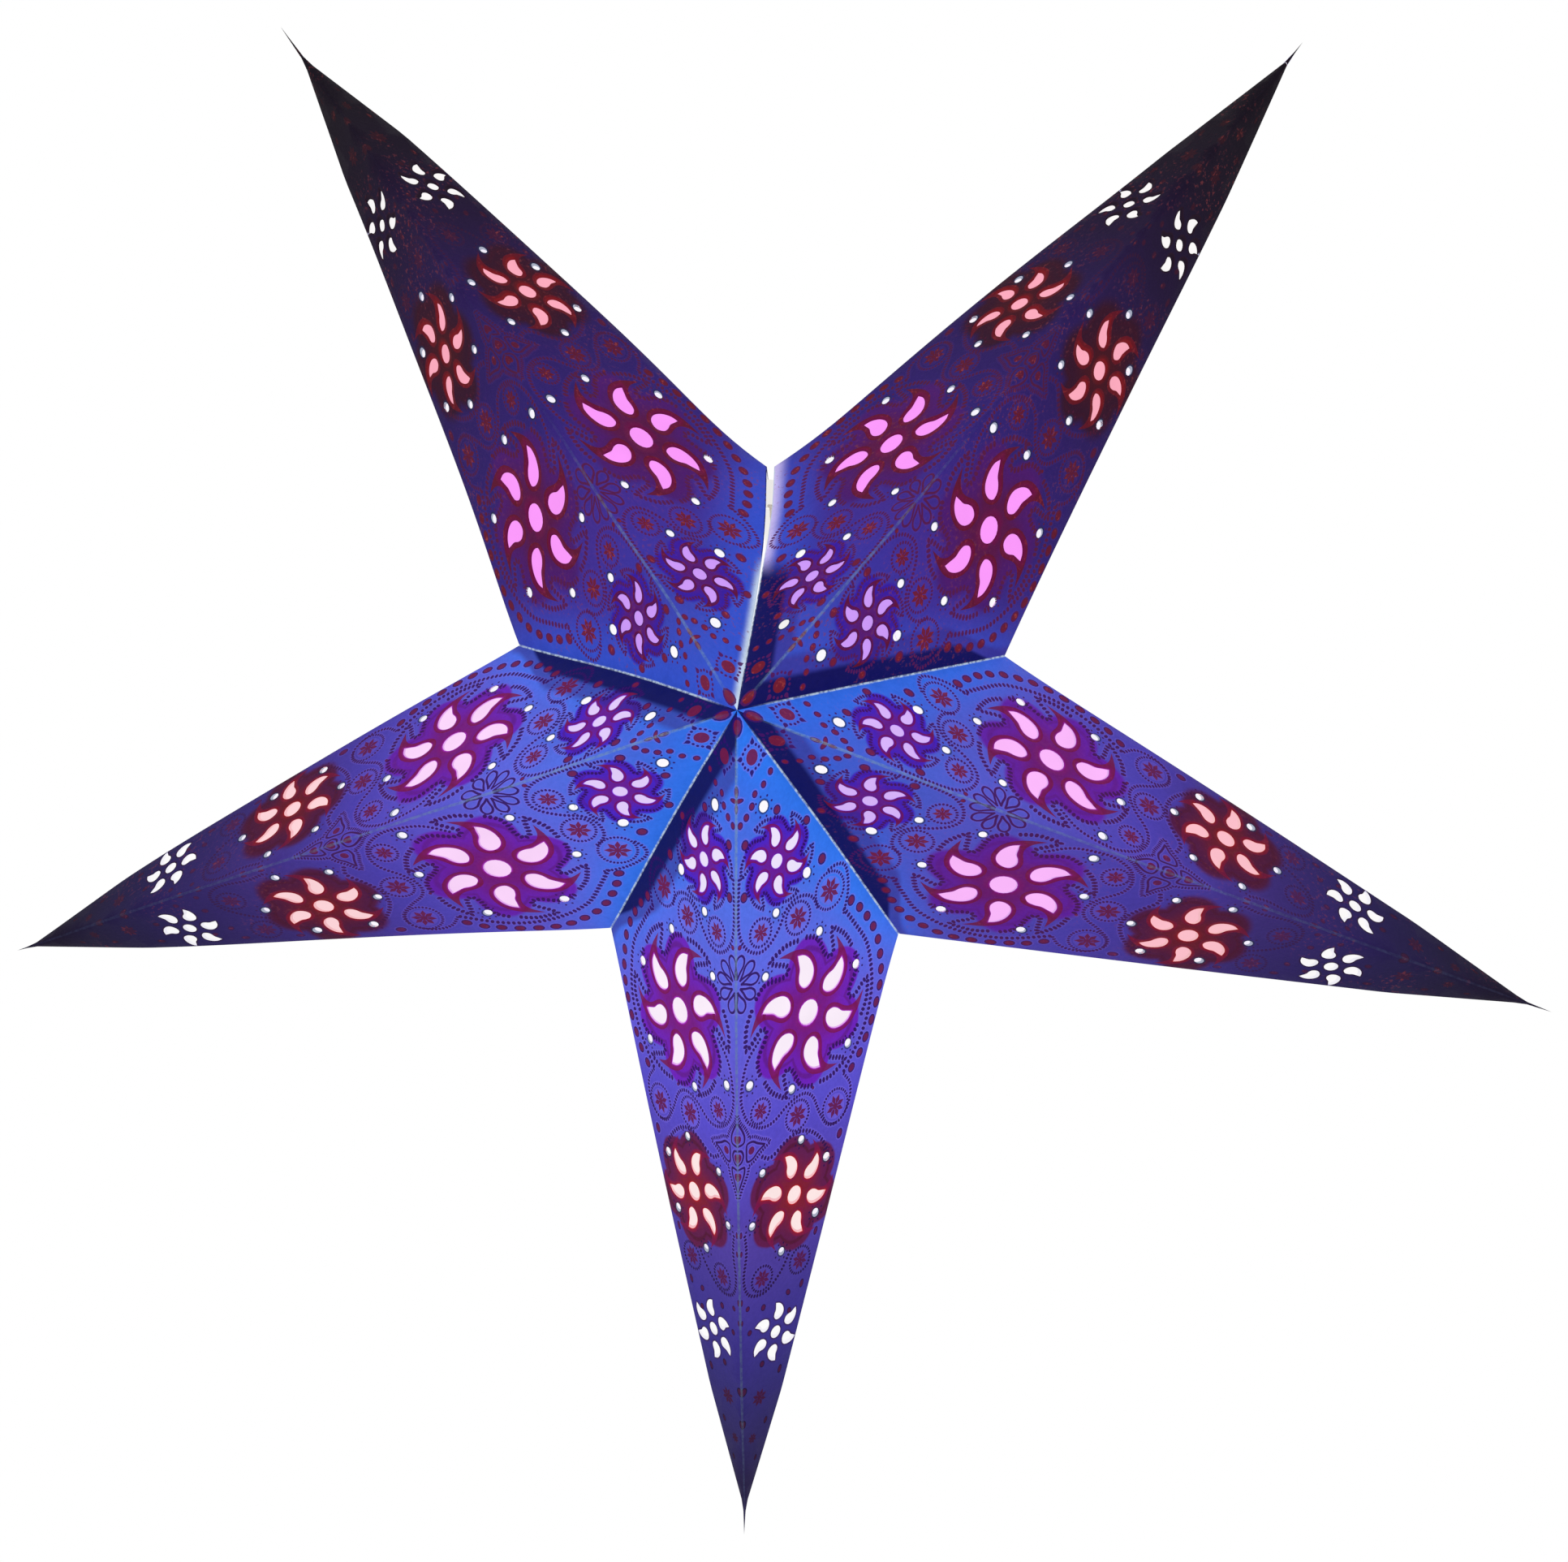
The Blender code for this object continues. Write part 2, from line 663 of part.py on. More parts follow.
def make_lamp(collection, materials):
    """The holder, stacked down from the cord grip, and the bulb screwed into it."""
    add_turned("cord_grip", grip_profile(), GRIP_STEPS, materials["grip"], collection, closed=True)
    cap = cap_profile(-GRIP_HEAD_LENGTH)
    add_turned("holder_cap", cap, HOLDER_STEPS, materials["plastic"], collection, closed=True)
    add_turned("holder_body", body_profile(), HOLDER_STEPS, materials["plastic"], collection)
    _, _, floor = body_heights()
    sleeve_top = floor - FIT_GAP
    sleeve = sleeve_profile(sleeve_top)
    add_turned("socket_sleeve", sleeve, SLEEVE_STEPS, materials["brass"], collection, closed=True)
    contact = contact_profile(sleeve_top)
    add_turned("socket_contact", contact, GRIP_STEPS, materials["brass"], collection)
    bulb_top = sleeve_top - CONTACT_HEIGHT - FIT_GAP
    contact = end_contact_profile(bulb_top)
    add_turned("bulb_end_contact", contact, GRIP_STEPS, materials["brass"], collection)
    screw_top = bulb_top - END_CONTACT_HEIGHT - FIT_GAP
    screw = screw_profile(screw_top)
    add_turned("bulb_screw_cap", screw, SLEEVE_STEPS, materials["brass"], collection)
    globe = globe_profile(screw_top)
    add_turned("bulb_globe", globe, GLOBE_STEPS, materials["glass"], collection, closed=True)


def main():
    clear_scene()
    collection = new_collection("paper_star_lantern")
    materials = make_materials()
    star = add_empty("star_centre", collection, None, Matrix.Translation(STAR_CENTRE))
    arms = {arm: make_arm(arm, star, collection, materials) for arm in ARM_STEPS}
    make_seam(star, arms, collection, materials)
    make_lamp(collection, materials)


main()
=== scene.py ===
"""Looks of the folded paper star lantern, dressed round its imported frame.

Each arm's four panels are printed paper with cut-out flowers, lit from inside, with coloured
tissue behind the flowers. The seam at the top has folded flaps, ties and hanging strings, and
the small lamp keeps its solids and gets its finishes here. Metres, +Z up, the front faces -Y.
"""

import math
from itertools import product

import bpy
import numpy as np
from bpy.props import FloatProperty, FloatVectorProperty, PointerProperty
from mathutils import Matrix, Vector, noise
from mathutils.geometry import delaunay_2d_cdt


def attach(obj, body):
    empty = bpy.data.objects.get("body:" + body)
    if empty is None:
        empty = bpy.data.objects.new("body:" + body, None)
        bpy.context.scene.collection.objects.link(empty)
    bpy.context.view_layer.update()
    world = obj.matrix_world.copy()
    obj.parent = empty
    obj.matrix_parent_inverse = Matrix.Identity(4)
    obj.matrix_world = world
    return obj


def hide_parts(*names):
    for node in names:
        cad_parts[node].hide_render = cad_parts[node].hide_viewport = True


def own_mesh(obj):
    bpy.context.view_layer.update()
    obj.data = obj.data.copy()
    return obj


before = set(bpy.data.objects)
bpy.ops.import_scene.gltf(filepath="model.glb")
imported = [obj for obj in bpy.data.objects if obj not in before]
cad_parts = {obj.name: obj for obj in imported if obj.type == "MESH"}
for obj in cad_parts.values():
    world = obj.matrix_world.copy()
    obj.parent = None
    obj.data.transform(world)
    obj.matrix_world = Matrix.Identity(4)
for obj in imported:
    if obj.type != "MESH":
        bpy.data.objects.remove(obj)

bl_info = {
    "name": "Paper star lantern",
    "version": (1, 0, 0),
    "blender": (4, 5, 0),
    "location": "3D View > Sidebar > Lantern",
    "description": "Dresses a folded paper star lantern: printed sheets, tissue, seam and lamp",
    "category": "Object",
}

MM = 0.001

# Arms, in steps of the pitch from the one that points down, and the panels of each
ARM_STEPS = {"bottom": 0, "lower_left": 1, "upper_left": 2, "upper_right": -2, "lower_right": -1}
FACES = ("front", "back")
SIDES = ("right", "left")
SEAM_GAP = 0.0043

# How the real star strays from an even one, in millimetres: steps round from the arm that
# points down, distance from the centre, then the shift to the right and up
STRAYS = (
    (0, 54, -0.5, -0.9), (0, 115, -0.5, -1.1), (0, 184, 0.2, -1.6), (0, 238, 1.0, -1.4),
    (0, 320, 2.3, -1.1),
    (1, 54, -0.2, -0.1), (1, 115, -1.5, -0.9), (1, 184, -2.8, -1.5), (1, 238, -3.6, -1.9),
    (1, 320, 6.0, 0.8),
    (2, 54, 2.4, 0.3), (2, 115, 2.1, 2.2), (2, 184, 0.9, 4.0), (2, 238, 1.0, 5.1),
    (2, 320, -1.5, 7.5),
    (-2, 54, 1.3, 0.7), (-2, 115, 0.5, 0.2), (-2, 184, 0.2, 0.8), (-2, 238, 0.5, -0.2),
    (-2, 320, 1.3, 1.0),
    (-1, 54, 1.0, -0.8), (-1, 115, -0.4, -0.9), (-1, 184, -0.7, -0.4), (-1, 238, -1.8, 0.3),
    (-1, 320, -2.7, 1.2),
    (0.5, 98, 0.7, -2.8), (1.5, 98, -1.6, -2.3), (2.5, 98, 1.1, -0.6), (-2.5, 98, 1.7, -0.5),
    (-1.5, 98, -1.2, -1.5), (-0.5, 98, -1.8, -0.7), (0, 0, 0.0, 0.0),
)
STRAY_SOFTNESS = 0.030
# How near the seam its edges are pulled together, what share of the gap that closes low down,
# how much less at the top, and how each side bows, in millimetres, at shares of the seam's height
SEAM_PULL = 0.026
SEAM_CLOSING = (0.94, 0.62)
SEAM_BOW = ((0.3, 0.5, 0.65, 0.8, 0.92, 1.0), (0, 0.1, 0.3, 0.5, 0.3, 0.0),
            (0, 0.3, 0.8, 0.7, -0.4, -1.1))
# What lies this near the lamp stays where it is, with a soft start beyond
LAMP_CLEAR = (0.016, 0.010)
# How far the front centre lies to the right and up
CENTRE_LIFT = (-0.0002, 0.0041)
# The paper's waves: places per metre and height of each kind, and how far from a crease they fade
RIPPLES = ((26, 30, 0, 1.0), (70, 70, 31, 0.45))
RIPPLE_FADE = 0.016
# The sides of each arm aim short of its tip, from this radius on: where they aim, and the
# share of its width and depth that the thin tail keeps
TAIL_START = 0.260
TAILS = {
    "bottom": (0.3100, 0.20), "lower_left": (0.3135, 0.22), "upper_left": (0.3055, 0.15),
    "upper_right": (0.3130, 0.22), "lower_right": (0.3110, 0.20),
}

# Layers of the flat drawing. A shape drawn later lies on top of the earlier ones.
PAPER, MARGIN, MAROON, DASH, FLAME, CUT = range(6)
# In millimetres, like all of the drawing: stretches of the panel's edge, spacing of the points
# inside it, and how near two points are one
EDGE_STEP = 5.0
SHEET_STEP, TISSUE_STEP = 7.0, 9.0
MERGE_DISTANCE = 1e-4

# Cut-out flowers on a panel, in millimetres: along the ridge, across from it, ring of petals
FLOWERS = ((56.1, 19.6, 9.2), (119.0, 37.2, 17.4), (191.4, 29.2, 12.7), (247.0, 18.4, 8.9))
PETALS = 6
PETAL_TURN = math.radians(8)
PETAL_STEPS = (3, 4, 4, 3)
# The last flower is turned the other way, with fatter petals and no printed tails
LAST_TURN = math.radians(-10)
LAST_FATNESS = 1.25
EYE_SHARE = 0.29
# Outlines of a petal and of its printed tail, in rings: out along its angle, then aside
PETAL = (
    (1.42, 0.155), (1.362, -0.034), (1.20, -0.19), (0.977, -0.27), (0.782, -0.241),
    (0.638, -0.109), (0.615, 0.057), (0.753, 0.172), (0.92, 0.178), (1.086, 0.132),
    (1.264, 0.144),
)
FLAME_TAIL = (
    (1.60, 0.70), (1.605, 0.36), (1.54, 0.04), (1.36, -0.23), (1.03, -0.375), (0.75, -0.345),
    (0.565, -0.19), (0.505, 0.04), (0.60, 0.23), (0.76, 0.295), (0.93, 0.29), (1.10, 0.26),
    (1.28, 0.27), (1.42, 0.355), (1.51, 0.48),
)
# Widths of the painted glow round the petals, flower by flower, and of the painted shade round a
# punched hole
RIM_WIDTHS = (1.4, 2.9, 1.9, 0.9)
PUNCHED_RIM = 0.95
# How long and wide the punch cuts a hole in the sheet and in the tissue, in shares of its radius
SHEET_PUNCH, TISSUE_PUNCH = (1.0, 0.93), (1.2, 1.12)
PUNCH_TURN = 0.4
# A dot's half length and half width, and how far the ring of dots lies outside its hole
DOT = (0.52, 0.46)
DOT_RING = 1.7

# Small punched holes, each in a ring of dots: along, across, radius
PUNCHED = (
    (35, 12.7, 2.2), (63.8, 34.6, 2.1), (75.2, 19.6, 1.7), (88.2, 42.2, 1.8),
    (98.2, 14.6, 1.7), (107.1, 63.2, 2.0), (138.5, 59.1, 1.9), (138.1, 6.5, 1.9),
    (147.1, 28.2, 1.8), (169.8, 33.4, 1.7), (182.3, 47.2, 1.9), (175.7, 12.7, 1.6),
    (204, 40.9, 1.9), (195.5, 6.9, 1.6), (212.6, 21.8, 1.7),
)

# Rosettes in dashed circles: the outline of one of their points, in shares of the star, the
# eye's share of it, and the margin round it. Then each one's along, across, circle and star.
ROSETTE_POINTS = 8
ROSETTE_POINT = ((1.12, 0.0), (0.64, 0.24), (0.08, 0.0), (0.64, -0.24))
ROSETTE_EYE = 0.3
ROSETTE_MARGIN = 0.9
ROSETTES = (
    (73.4, 46.8, 7.3, 4.6), (80, 30.8, 6.2, 4.2), (80.6, 12, 5.2, 3.4),
    (150.2, 12, 4.9, 3.3), (159, 31.4, 6.1, 4.3), (162.5, 52, 7.0, 4.4),
    (221, 32, 5.6, 3.8), (220, 11.5, 5.2, 3.6), (272.5, 9.3, 0, 3.4), (290, 5.6, 0, 2.2),
)

# Printed ovals: along, across, half length, half width, turn in degrees. Their maroon part
# has this share of the size.
OVAL_MIDDLE = 0.74
OVALS = (
    (80.2, 58.6, 2.3, 2.0, 0), (84.1, 63.5, 2.3, 1.9, 40), (88.8, 68, 2.3, 1.9, 35),
    (94, 71.9, 2.3, 1.9, 30), (100.1, 75, 2.3, 1.9, 20), (106.5, 76.6, 2.3, 1.9, 5),
    (113, 77.4, 2.4, 1.8, 0), (119.6, 76.9, 2.4, 1.8, -10), (126.2, 75.1, 2.4, 1.8, -15),
    (132.9, 72.5, 2.4, 1.8, -20), (139.1, 69.2, 2.3, 1.8, -30), (144.6, 65.8, 2.2, 1.8, -40),
    (149.4, 61.2, 2.2, 1.8, -45), (175, 54.5, 2.2, 1.6, -20), (60.2, 41.9, 2.3, 2.0, 0),
    (37.4, 18.9, 1.9, 1.7, 0), (44, 33.2, 1.9, 1.7, 30), (47, 4.2, 2.0, 1.8, 0),
    (65.6, 3.9, 2.0, 1.8, 0), (23.2, 15.5, 1.4, 1.3, 0), (27.2, 12.4, 1.4, 1.3, 0),
    (29.9, 8.5, 1.4, 1.3, 0), (34, 7.2, 1.5, 1.4, 0), (37.4, 4.7, 1.5, 1.4, 0),
    (39.7, 1.9, 1.4, 1.3, 0), (5.8, 0, 3.6, 2.6, 0), (83.4, 1.9, 1.0, 1.0, 0),
    (27.8, 0, 2.2, 1.1, 0), (31.0, 1.2, 0.9, 2.3, 0), (33.6, 0, 1.8, 0.9, 0),
    (241, 26, 1.5, 1.2, 20), (232.5, 25.5, 1.6, 1.2, 30), (233, 12, 1.5, 1.3, 0),
    (241, 4.8, 1.3, 1.2, 0), (258, 11, 1.5, 1.3, 0), (230, 4, 1.2, 1.1, 0),
    (266, 1, 2.0, 2.0, 0), (281, 0.5, 2.0, 1.6, 0), (212, 41, 1.9, 1.1, -20),
    (232, 33, 1.9, 1.1, -20), (265, 20.5, 1.9, 1.1, -20), (285, 13, 1.6, 1.0, -20),
    (300, 7.8, 1.4, 0.8, -20), (197, 1.2, 1.5, 0.7, 0), (205, 1.2, 1.3, 0.7, 0),
    (226, 1, 1.5, 0.6, 0), (235, 1, 1.3, 0.6, 0), (150.5, 39.7, 0.7, 0.7, 0),
)

# Dashed lines: the size of their dashes and their route
VINES = (
    (1.34, ((82, 54.5), (90, 61.4), (100, 68.9), (112.5, 72), (125, 71.4), (137.5, 66.4),
            (150, 56.4))),
    (1.0, ((85, 55), (75, 56.5), (66, 54.5), (64, 50), (65.5, 45))),
    (1.0, ((79, 41), (73.5, 37.5), (72, 31), (75, 25), (81, 21.5), (86, 17), (88, 12),
           (86.4, 7), (83, 3.6), (78, 1.6), (70, 1.1), (58, 1.6))),
    (1.0, ((150, 56.4), (156, 60.5), (164, 59.5), (169.3, 54), (168.5, 47.5), (162, 43.2),
           (154, 39.5), (151, 34), (152.6, 26.5), (156.8, 19), (157.2, 13), (154, 7.2),
           (149, 3.8), (141, 2.1), (129, 5), (121.5, 12))),
    (1.0, ((214, 27), (221.5, 21), (226.5, 13), (224.5, 5), (217, 2.2), (206, 3.8), (197, 3))),
    (1.2, ((168.5, 12), (171, 17), (168, 24), (166, 31), (168.5, 39), (176, 46), (186, 49.5))),
)
# Dashes: spacing, half length and half width
VINE_DASH = (1.5, 0.58, 0.86)
CIRCLE_DASH = (1.35, 0.52, 0.70)
TAIL_DASH = (1.9, 0.80, 1.26)
TREFOIL_DASH = (1.15, 0.42, 0.85)
MARGIN_WIDTH = 0.55
# A teardrop from its base at 0 to its tip at 1, and half its width at each place
DROP = ((1.0, 0.0), (0.72, 0.42), (0.42, 1.0), (0.14, 0.86), (0.0, 0.0), (0.14, -0.86),
        (0.42, -1.0), (0.72, -0.42))
# The dashes round a printed tail and on round the petal, in rings from the flower's centre
TAIL_ROUTE = (
    (1.76, 0.07), (1.79, 0.27), (1.79, 0.50), (1.71, 0.76), (1.62, 0.96), (1.53, 0.85),
    (1.44, 0.68), (1.34, 0.50), (1.187, 0.48), (1.123, 0.675), (1.18, 0.99), (1.153, 1.236),
    (0.938, 1.50),
)

# Daisy and trefoil on the ridge. The daisy: along, across, inner and outer radius
DAISY = (97.6, 0.0, 2.6, 11.3)
DAISY_ANGLES = (18, 56, 94, 129, 166)
DAISY_PETAL = (4.0, 0.44)
TREFOIL_LINES = (
    ((164.3, 14.2), (162.5, 10.5), (160.9, 8), (160.8, 5.5), (161.7, 4.7), (164.4, 4.6),
     (167.3, 4.7), (168.2, 5.8), (167.7, 8.2), (165.9, 10.6), (164.5, 13.8)),
    ((151, 0.4), (154, 2.3), (157, 3.6), (159.4, 3.5), (160.1, 2.2), (160, 0.4)),
    ((178.4, 0.4), (175.2, 2.0), (172.4, 3.3), (169.9, 3.5), (169.5, 2.2), (169.6, 0.4)),
    ((161.9, 0.4), (162.6, 2.1), (164.8, 3.0), (167, 2.1), (167.8, 0.4)),
)
TREFOIL_LINE = 0.44
TREFOIL_EDGE = (
    (147.5, 0.3), (151, 1.7), (154, 4.0), (157, 5.6), (158.7, 6.3), (158.9, 8.2), (160, 10.3),
    (161.5, 12.4), (162.6, 15), (164.2, 16.9), (165.7, 14.2), (167, 11.7), (168.5, 9.6),
    (169.6, 7.6), (170, 5.9), (172.2, 5.4), (175.2, 4.0), (178.4, 2.0), (182, 0.3),
)
TREFOIL_OVALS = ((164.2, 7.2, 1.6), (165, 0.2, 1.9), (172.6, 0.3, 1.7), (157.5, 0.3, 1.7))
# An oval in a ring of dots with four tips. Tips start and end at shares of the ring's radius.
LOZENGE = (16.9, 7.0, 2.7, 4.4)
LOZENGE_DOT = (0.58, 0.6)
LOZENGE_TIP = (0.98, 1.58)
LOZENGE_TIP_WIDTH = 1.7

# Coloured tissue patches behind the flowers: radius in rings and how deep the lobes are
PATCHES = ((1.66, 0.13), (1.58, 0.15), (1.78, 0.10), (1.45, 0.06))
PATCH_TURN = PETAL_TURN - 0.1
PATCH_LOBES = 3
LOBE_MEAN = 0.6
SCALLOP_PLACE = 0.85
TISSUE_INSET = 1.2

# Where each flower's own colours begin, as shares of the ridge, and those colours from the
# centre out, on the lit lower arms and in painted shade on the upper ones. The rims and rings
# round the petals are painted glow, the edge shades that glow on the cut walls, and the shadow
# shades the tissue patches' painted shadows through the paper.
BANDS = (0.0, 0.26, 0.48, 0.66)
TISSUE_SHADES = ((240, 230, 255), (253, 240, 253), (255, 232, 231), (255, 255, 255))
DEEP_TISSUE_SHADES = ((208, 156, 253), (255, 156, 255), (255, 172, 192), (255, 252, 252))
LIT_RIMS = ((124, 44, 220), (186, 44, 214), (226, 36, 34), (60, 34, 88))
DARK_RIMS = ((58, 10, 96), (104, 8, 66), (124, 20, 30), (30, 14, 34))
LIT_RINGS = ((112, 22, 156), (134, 24, 122), (146, 26, 44), (56, 22, 66))
DARK_RINGS = ((92, 18, 98), (112, 12, 70), (110, 18, 26), (40, 14, 26))
EDGE_SHADES = ((178, 130, 246), (236, 180, 246), (253, 194, 200), (250, 248, 255))
SHADOW_SHADES = (
    (((72, 22, 204), (54, 24, 164)), ((110, 28, 150), (92, 26, 112))),
    (((112, 22, 190), (74, 22, 108)), ((122, 22, 130), (90, 16, 66))),
    (((98, 18, 66), (52, 14, 36)), ((132, 26, 50), (70, 16, 30))),
)
SCALLOP_SHADES = ((84, 18, 130), (92, 16, 104), (74, 10, 28))

# Shades at shares of the ridge, which is this long, in painted light: brighter near the lamp
# at the centre, darker towards the tip, and deeper with painted shade on the upper arms. The
# azure, the violet blue and the lower arms' maroon are settings, and lie at these shares.
RIDGE_LENGTH = 0.332
AZURE_PLACE, VIOLET_PLACE, MAROON_PLACE = 0.02, 0.40, 0.35
LOWER_BLUES = (
    (0.20, 84, 116, 238), (0.28, 96, 108, 234), (0.48, 88, 76, 206), (0.60, 84, 64, 166),
    (0.72, 62, 50, 144), (0.80, 52, 44, 120), (0.86, 46, 38, 98), (0.93, 41, 33, 72),
)
UPPER_BLUES = (
    (0.02, 60, 92, 210), (0.20, 60, 52, 162), (0.28, 66, 43, 145), (0.40, 50, 32, 116),
    (0.48, 46, 27, 100), (0.60, 40, 22, 76), (0.70, 33, 17, 54), (0.80, 25, 14, 35),
    (0.87, 22, 13, 28), (0.93, 21, 13, 25),
)
DASH_INKS = (
    ((0.0, 44, 8, 108), (0.45, 50, 8, 88), (0.8, 28, 6, 42)),
    ((0.0, 84, 24, 96), (0.4, 88, 22, 62), (0.8, 50, 14, 24)),
)
MAROON_INKS = (
    ((0.6, 92, 18, 74), (0.9, 50, 10, 40)),
    ((0.0, 124, 28, 44), (0.4, 104, 20, 36), (0.9, 60, 14, 20)),
)
# Painted shade where less light shines through: full on the upper arms, in part on the panels
# beside them, and on the tissue of whole arms as given
UPPER_ARMS = ("upper_left", "upper_right")
SHADED_PANELS = {
    ("lower_left", "left"): 0.1, ("lower_left", "right"): 0.1,
    ("lower_right", "left"): 0.5, ("lower_right", "right"): 0.4,
}
TISSUE_SHADING = {"lower_left": 0.35, "lower_right": 0.7}
# Panels at the seam: -1 where it lets light by low down, 1 where it does so high up
SEAM_PANELS = {("upper_left", "left"): -1.0, ("upper_right", "right"): 1.0}
# What the sockets of the shared effects carry, where it isn't a number
SOCKET_KINDS = {
    "Place": "NodeSocketVector", "Colour": "NodeSocketColor", "Base": "NodeSocketColor",
    "Glow": "NodeSocketColor",
}

# Seam and strings, as in the frame. Shares run along the seam from the front centre.
FLAP_SPAN = (0.16, 0.70)
FLAP_WIDTH = 0.008
FLAP_THICKNESS = 0.00045
FLAP_EDGE_GAP = 0.0006
# The flap's free corners are cut back, at shares of the seam, by a part of its width
FLAP_CORNERS = ((0.012, 0.0016), (0.030, 0.0))
STRING_HOLE_INSET = 0.0045
STRING_HOLE_RADIUS = 0.0013
HANGING_HOLE_SHARE = 0.655
TIE_HOLE_SHARE = 0.42
STRING_RADIUS = 0.0006
STRING_PLIES = 3
STRING_TURNS_PER_METRE = 420
STRING_GROOVE = 0.14
STRING_CORNERS = 12
STRING_GAP = 0.0004
STRING_SLACK = 0.0024
SHOULDER_ANGLES = (math.radians(50), math.radians(22))
COLLAR_SWEEP = math.radians(78)
COLLAR_STRETCHES = 6
TIE_RING_RADIUS = 0.0038
TIE_STRETCHES = 6
GRIP_HEAD_LENGTH = 0.0112
GRIP_RADIUS = 0.005
HOLDER_RADIUS = 0.014
CAP_SHOULDER_RADIUS = 0.007
CAP_DOME_HEIGHT = 0.010

# Soft lights: name, place from the star's centre, size, share of the key light's power
LIGHTS = (
    ("key_light", (-0.9, -1.5, 1.0), 1.1, 1.0), ("fill_light", (1.2, -1.2, 0.3), 1.2, 0.55),
    ("back_light", (0.3, 1.6, 0.9), 1.2, 0.7),
)
SENSOR_WIDTH = 36.0


def srgb(red, green, blue):
    """A colour of the paint box, 0 to 255, as the linear one that shaders use."""
    shares = [value / 255 for value in (red, green, blue)]
    linear = [s / 12.92 if s <= 0.04045 else ((s + 0.055) / 1.055) ** 2.4 for s in shares]
    return (*linear, 1.0)


def colour_prop(name, description, shade):
    return FloatVectorProperty(
        name=name, description=description, default=srgb(*shade)[:3], size=3, min=0, max=1,
        subtype="COLOR",
    )


def number_prop(name, description, default, **limits):
    return FloatProperty(name=name, description=description, default=default, **limits)


def length_prop(name, description, default):
    return number_prop(name, description, default, min=0, unit="LENGTH", precision=5)


class LanternPaperSettings(bpy.types.PropertyGroup):
    """Sizes of the folded star and the colours of its printed paper."""

    tip_radius: length_prop("Tip radius", "From the star's centre to a tip", 0.320)
    valley_radius: length_prop("Valley radius", "From the centre to a valley's corner", 0.098)
    half_depth: length_prop("Half depth", "From the middle plane to the front centre", 0.090)
    hang_height: length_prop("Hang height", "From the star's centre up to the origin", 0.092)
    thickness: length_prop("Paper thickness", "Thickness of the printed sheet", 0.00035)
    cockle: length_prop("Cockle", "How far the sheet waves out of its plane", 0.00050)
    azure: colour_prop("Azure", "Lit blue near the centre", (50, 104, 226))
    violet_blue: colour_prop("Violet blue", "Lit blue half way out", (100, 90, 218))
    maroon: colour_prop("Maroon", "Printed ovals and stars", (112, 22, 70))
    flame: colour_prop("Flame", "Printed tails round the petals", (122, 14, 72))


class LanternTissueSettings(bpy.types.PropertyGroup):
    """Thickness of the tissue and its place behind the sheet."""

    thickness: length_prop("Tissue thickness", "Thickness of the coloured tissue", 0.00020)
    gap: length_prop("Gap", "From the sheet's inner face to the tissue", 0.00005)


class LanternLampSettings(bpy.types.PropertyGroup):
    """Colours of the lamp, its strings and the bulb."""

    plastic: colour_prop("Holder", "Moulded plastic of the holder", (244, 242, 238))
    grip: colour_prop("Cord grip", "Moulded plastic of the cord grip", (238, 236, 231))
    brass: colour_prop("Brass", "Contacts, sleeve and screw cap", (214, 176, 104))
    glass: colour_prop("Glass", "Opal glass of the bulb", (250, 246, 236))
    cotton: colour_prop("Cotton", "String of the ties and hangers", (222, 214, 196))


class LanternStageSettings(bpy.types.PropertyGroup):
    """The camera, the floor and the lights."""

    lens: number_prop("Lens", "Focal length in millimetres", 36.0, min=10)
    distance: length_prop("Distance", "From the camera to its target", 0.6054)
    yaw: number_prop("Yaw", "Camera's turn about the vertical", 0.0703, subtype="ANGLE")
    pitch: number_prop("Pitch", "Camera's height above the level", 0.0456, subtype="ANGLE")
    roll: number_prop("Roll", "Camera's turn about its own axis", 0.0286, subtype="ANGLE")
    target: FloatVectorProperty(
        name="Target", description="Where the camera looks, from the star's centre",
        default=(0.00954, 0.0, -0.02278), size=3, subtype="TRANSLATION", unit="LENGTH",
    )
    floor_drop: length_prop("Floor drop", "From the star's centre down to the floor", 1.10)
    floor_size: length_prop("Floor size", "Side of the square floor", 2.4)
    floor: colour_prop("Floor", "Plain pale floor", (236, 236, 238))
    floor_lift: number_prop(
        "Floor lift", "How far the floor is brought up to the white behind it", 0.15, min=0
    )
    world_level: number_prop("World level", "Strength of the soft light all round", 0.62, min=0)
    key_power: number_prop(
        "Key light", "Power of the large soft light", 9.0, min=0, unit="POWER"
    )


# Flat drawing -------------------------------------------------------------------------------


def towards(angle):
    """The direction at an angle."""
    return Vector((math.cos(angle), math.sin(angle)))


def angles_round(count, shift=0):
    """Angles at equal steps all round, moved on by a share of a step."""
    return [2 * math.pi * (index + shift) / count for index in range(count)]


def smooth_loop(points, steps):
    """A closed outline through the points, rounded between them. The first point stays sharp."""
    count = len(points)
    outline = []
    for index in range(count):
        before, start = Vector(points[index - 1]), Vector(points[index])
        end, after = Vector(points[(index + 1) % count]), Vector(points[(index + 2) % count])
        before = start if index == 0 else before
        after = end if index == count - 1 else after
        outline += curve_stretch(before, start, end, after, steps)
    return outline


def curve_stretch(before, start, end, after, steps):
    """Points from start towards end on the smooth curve that also passes before and after."""
    points = []
    for step in range(steps):
        t = step / steps
        bend = 2 * before - 5 * start + 4 * end - after
        twist = 3 * (start - end) + after - before
        points.append(start + (t * (end - before) + t**2 * bend + t**3 * twist) / 2)
    return points


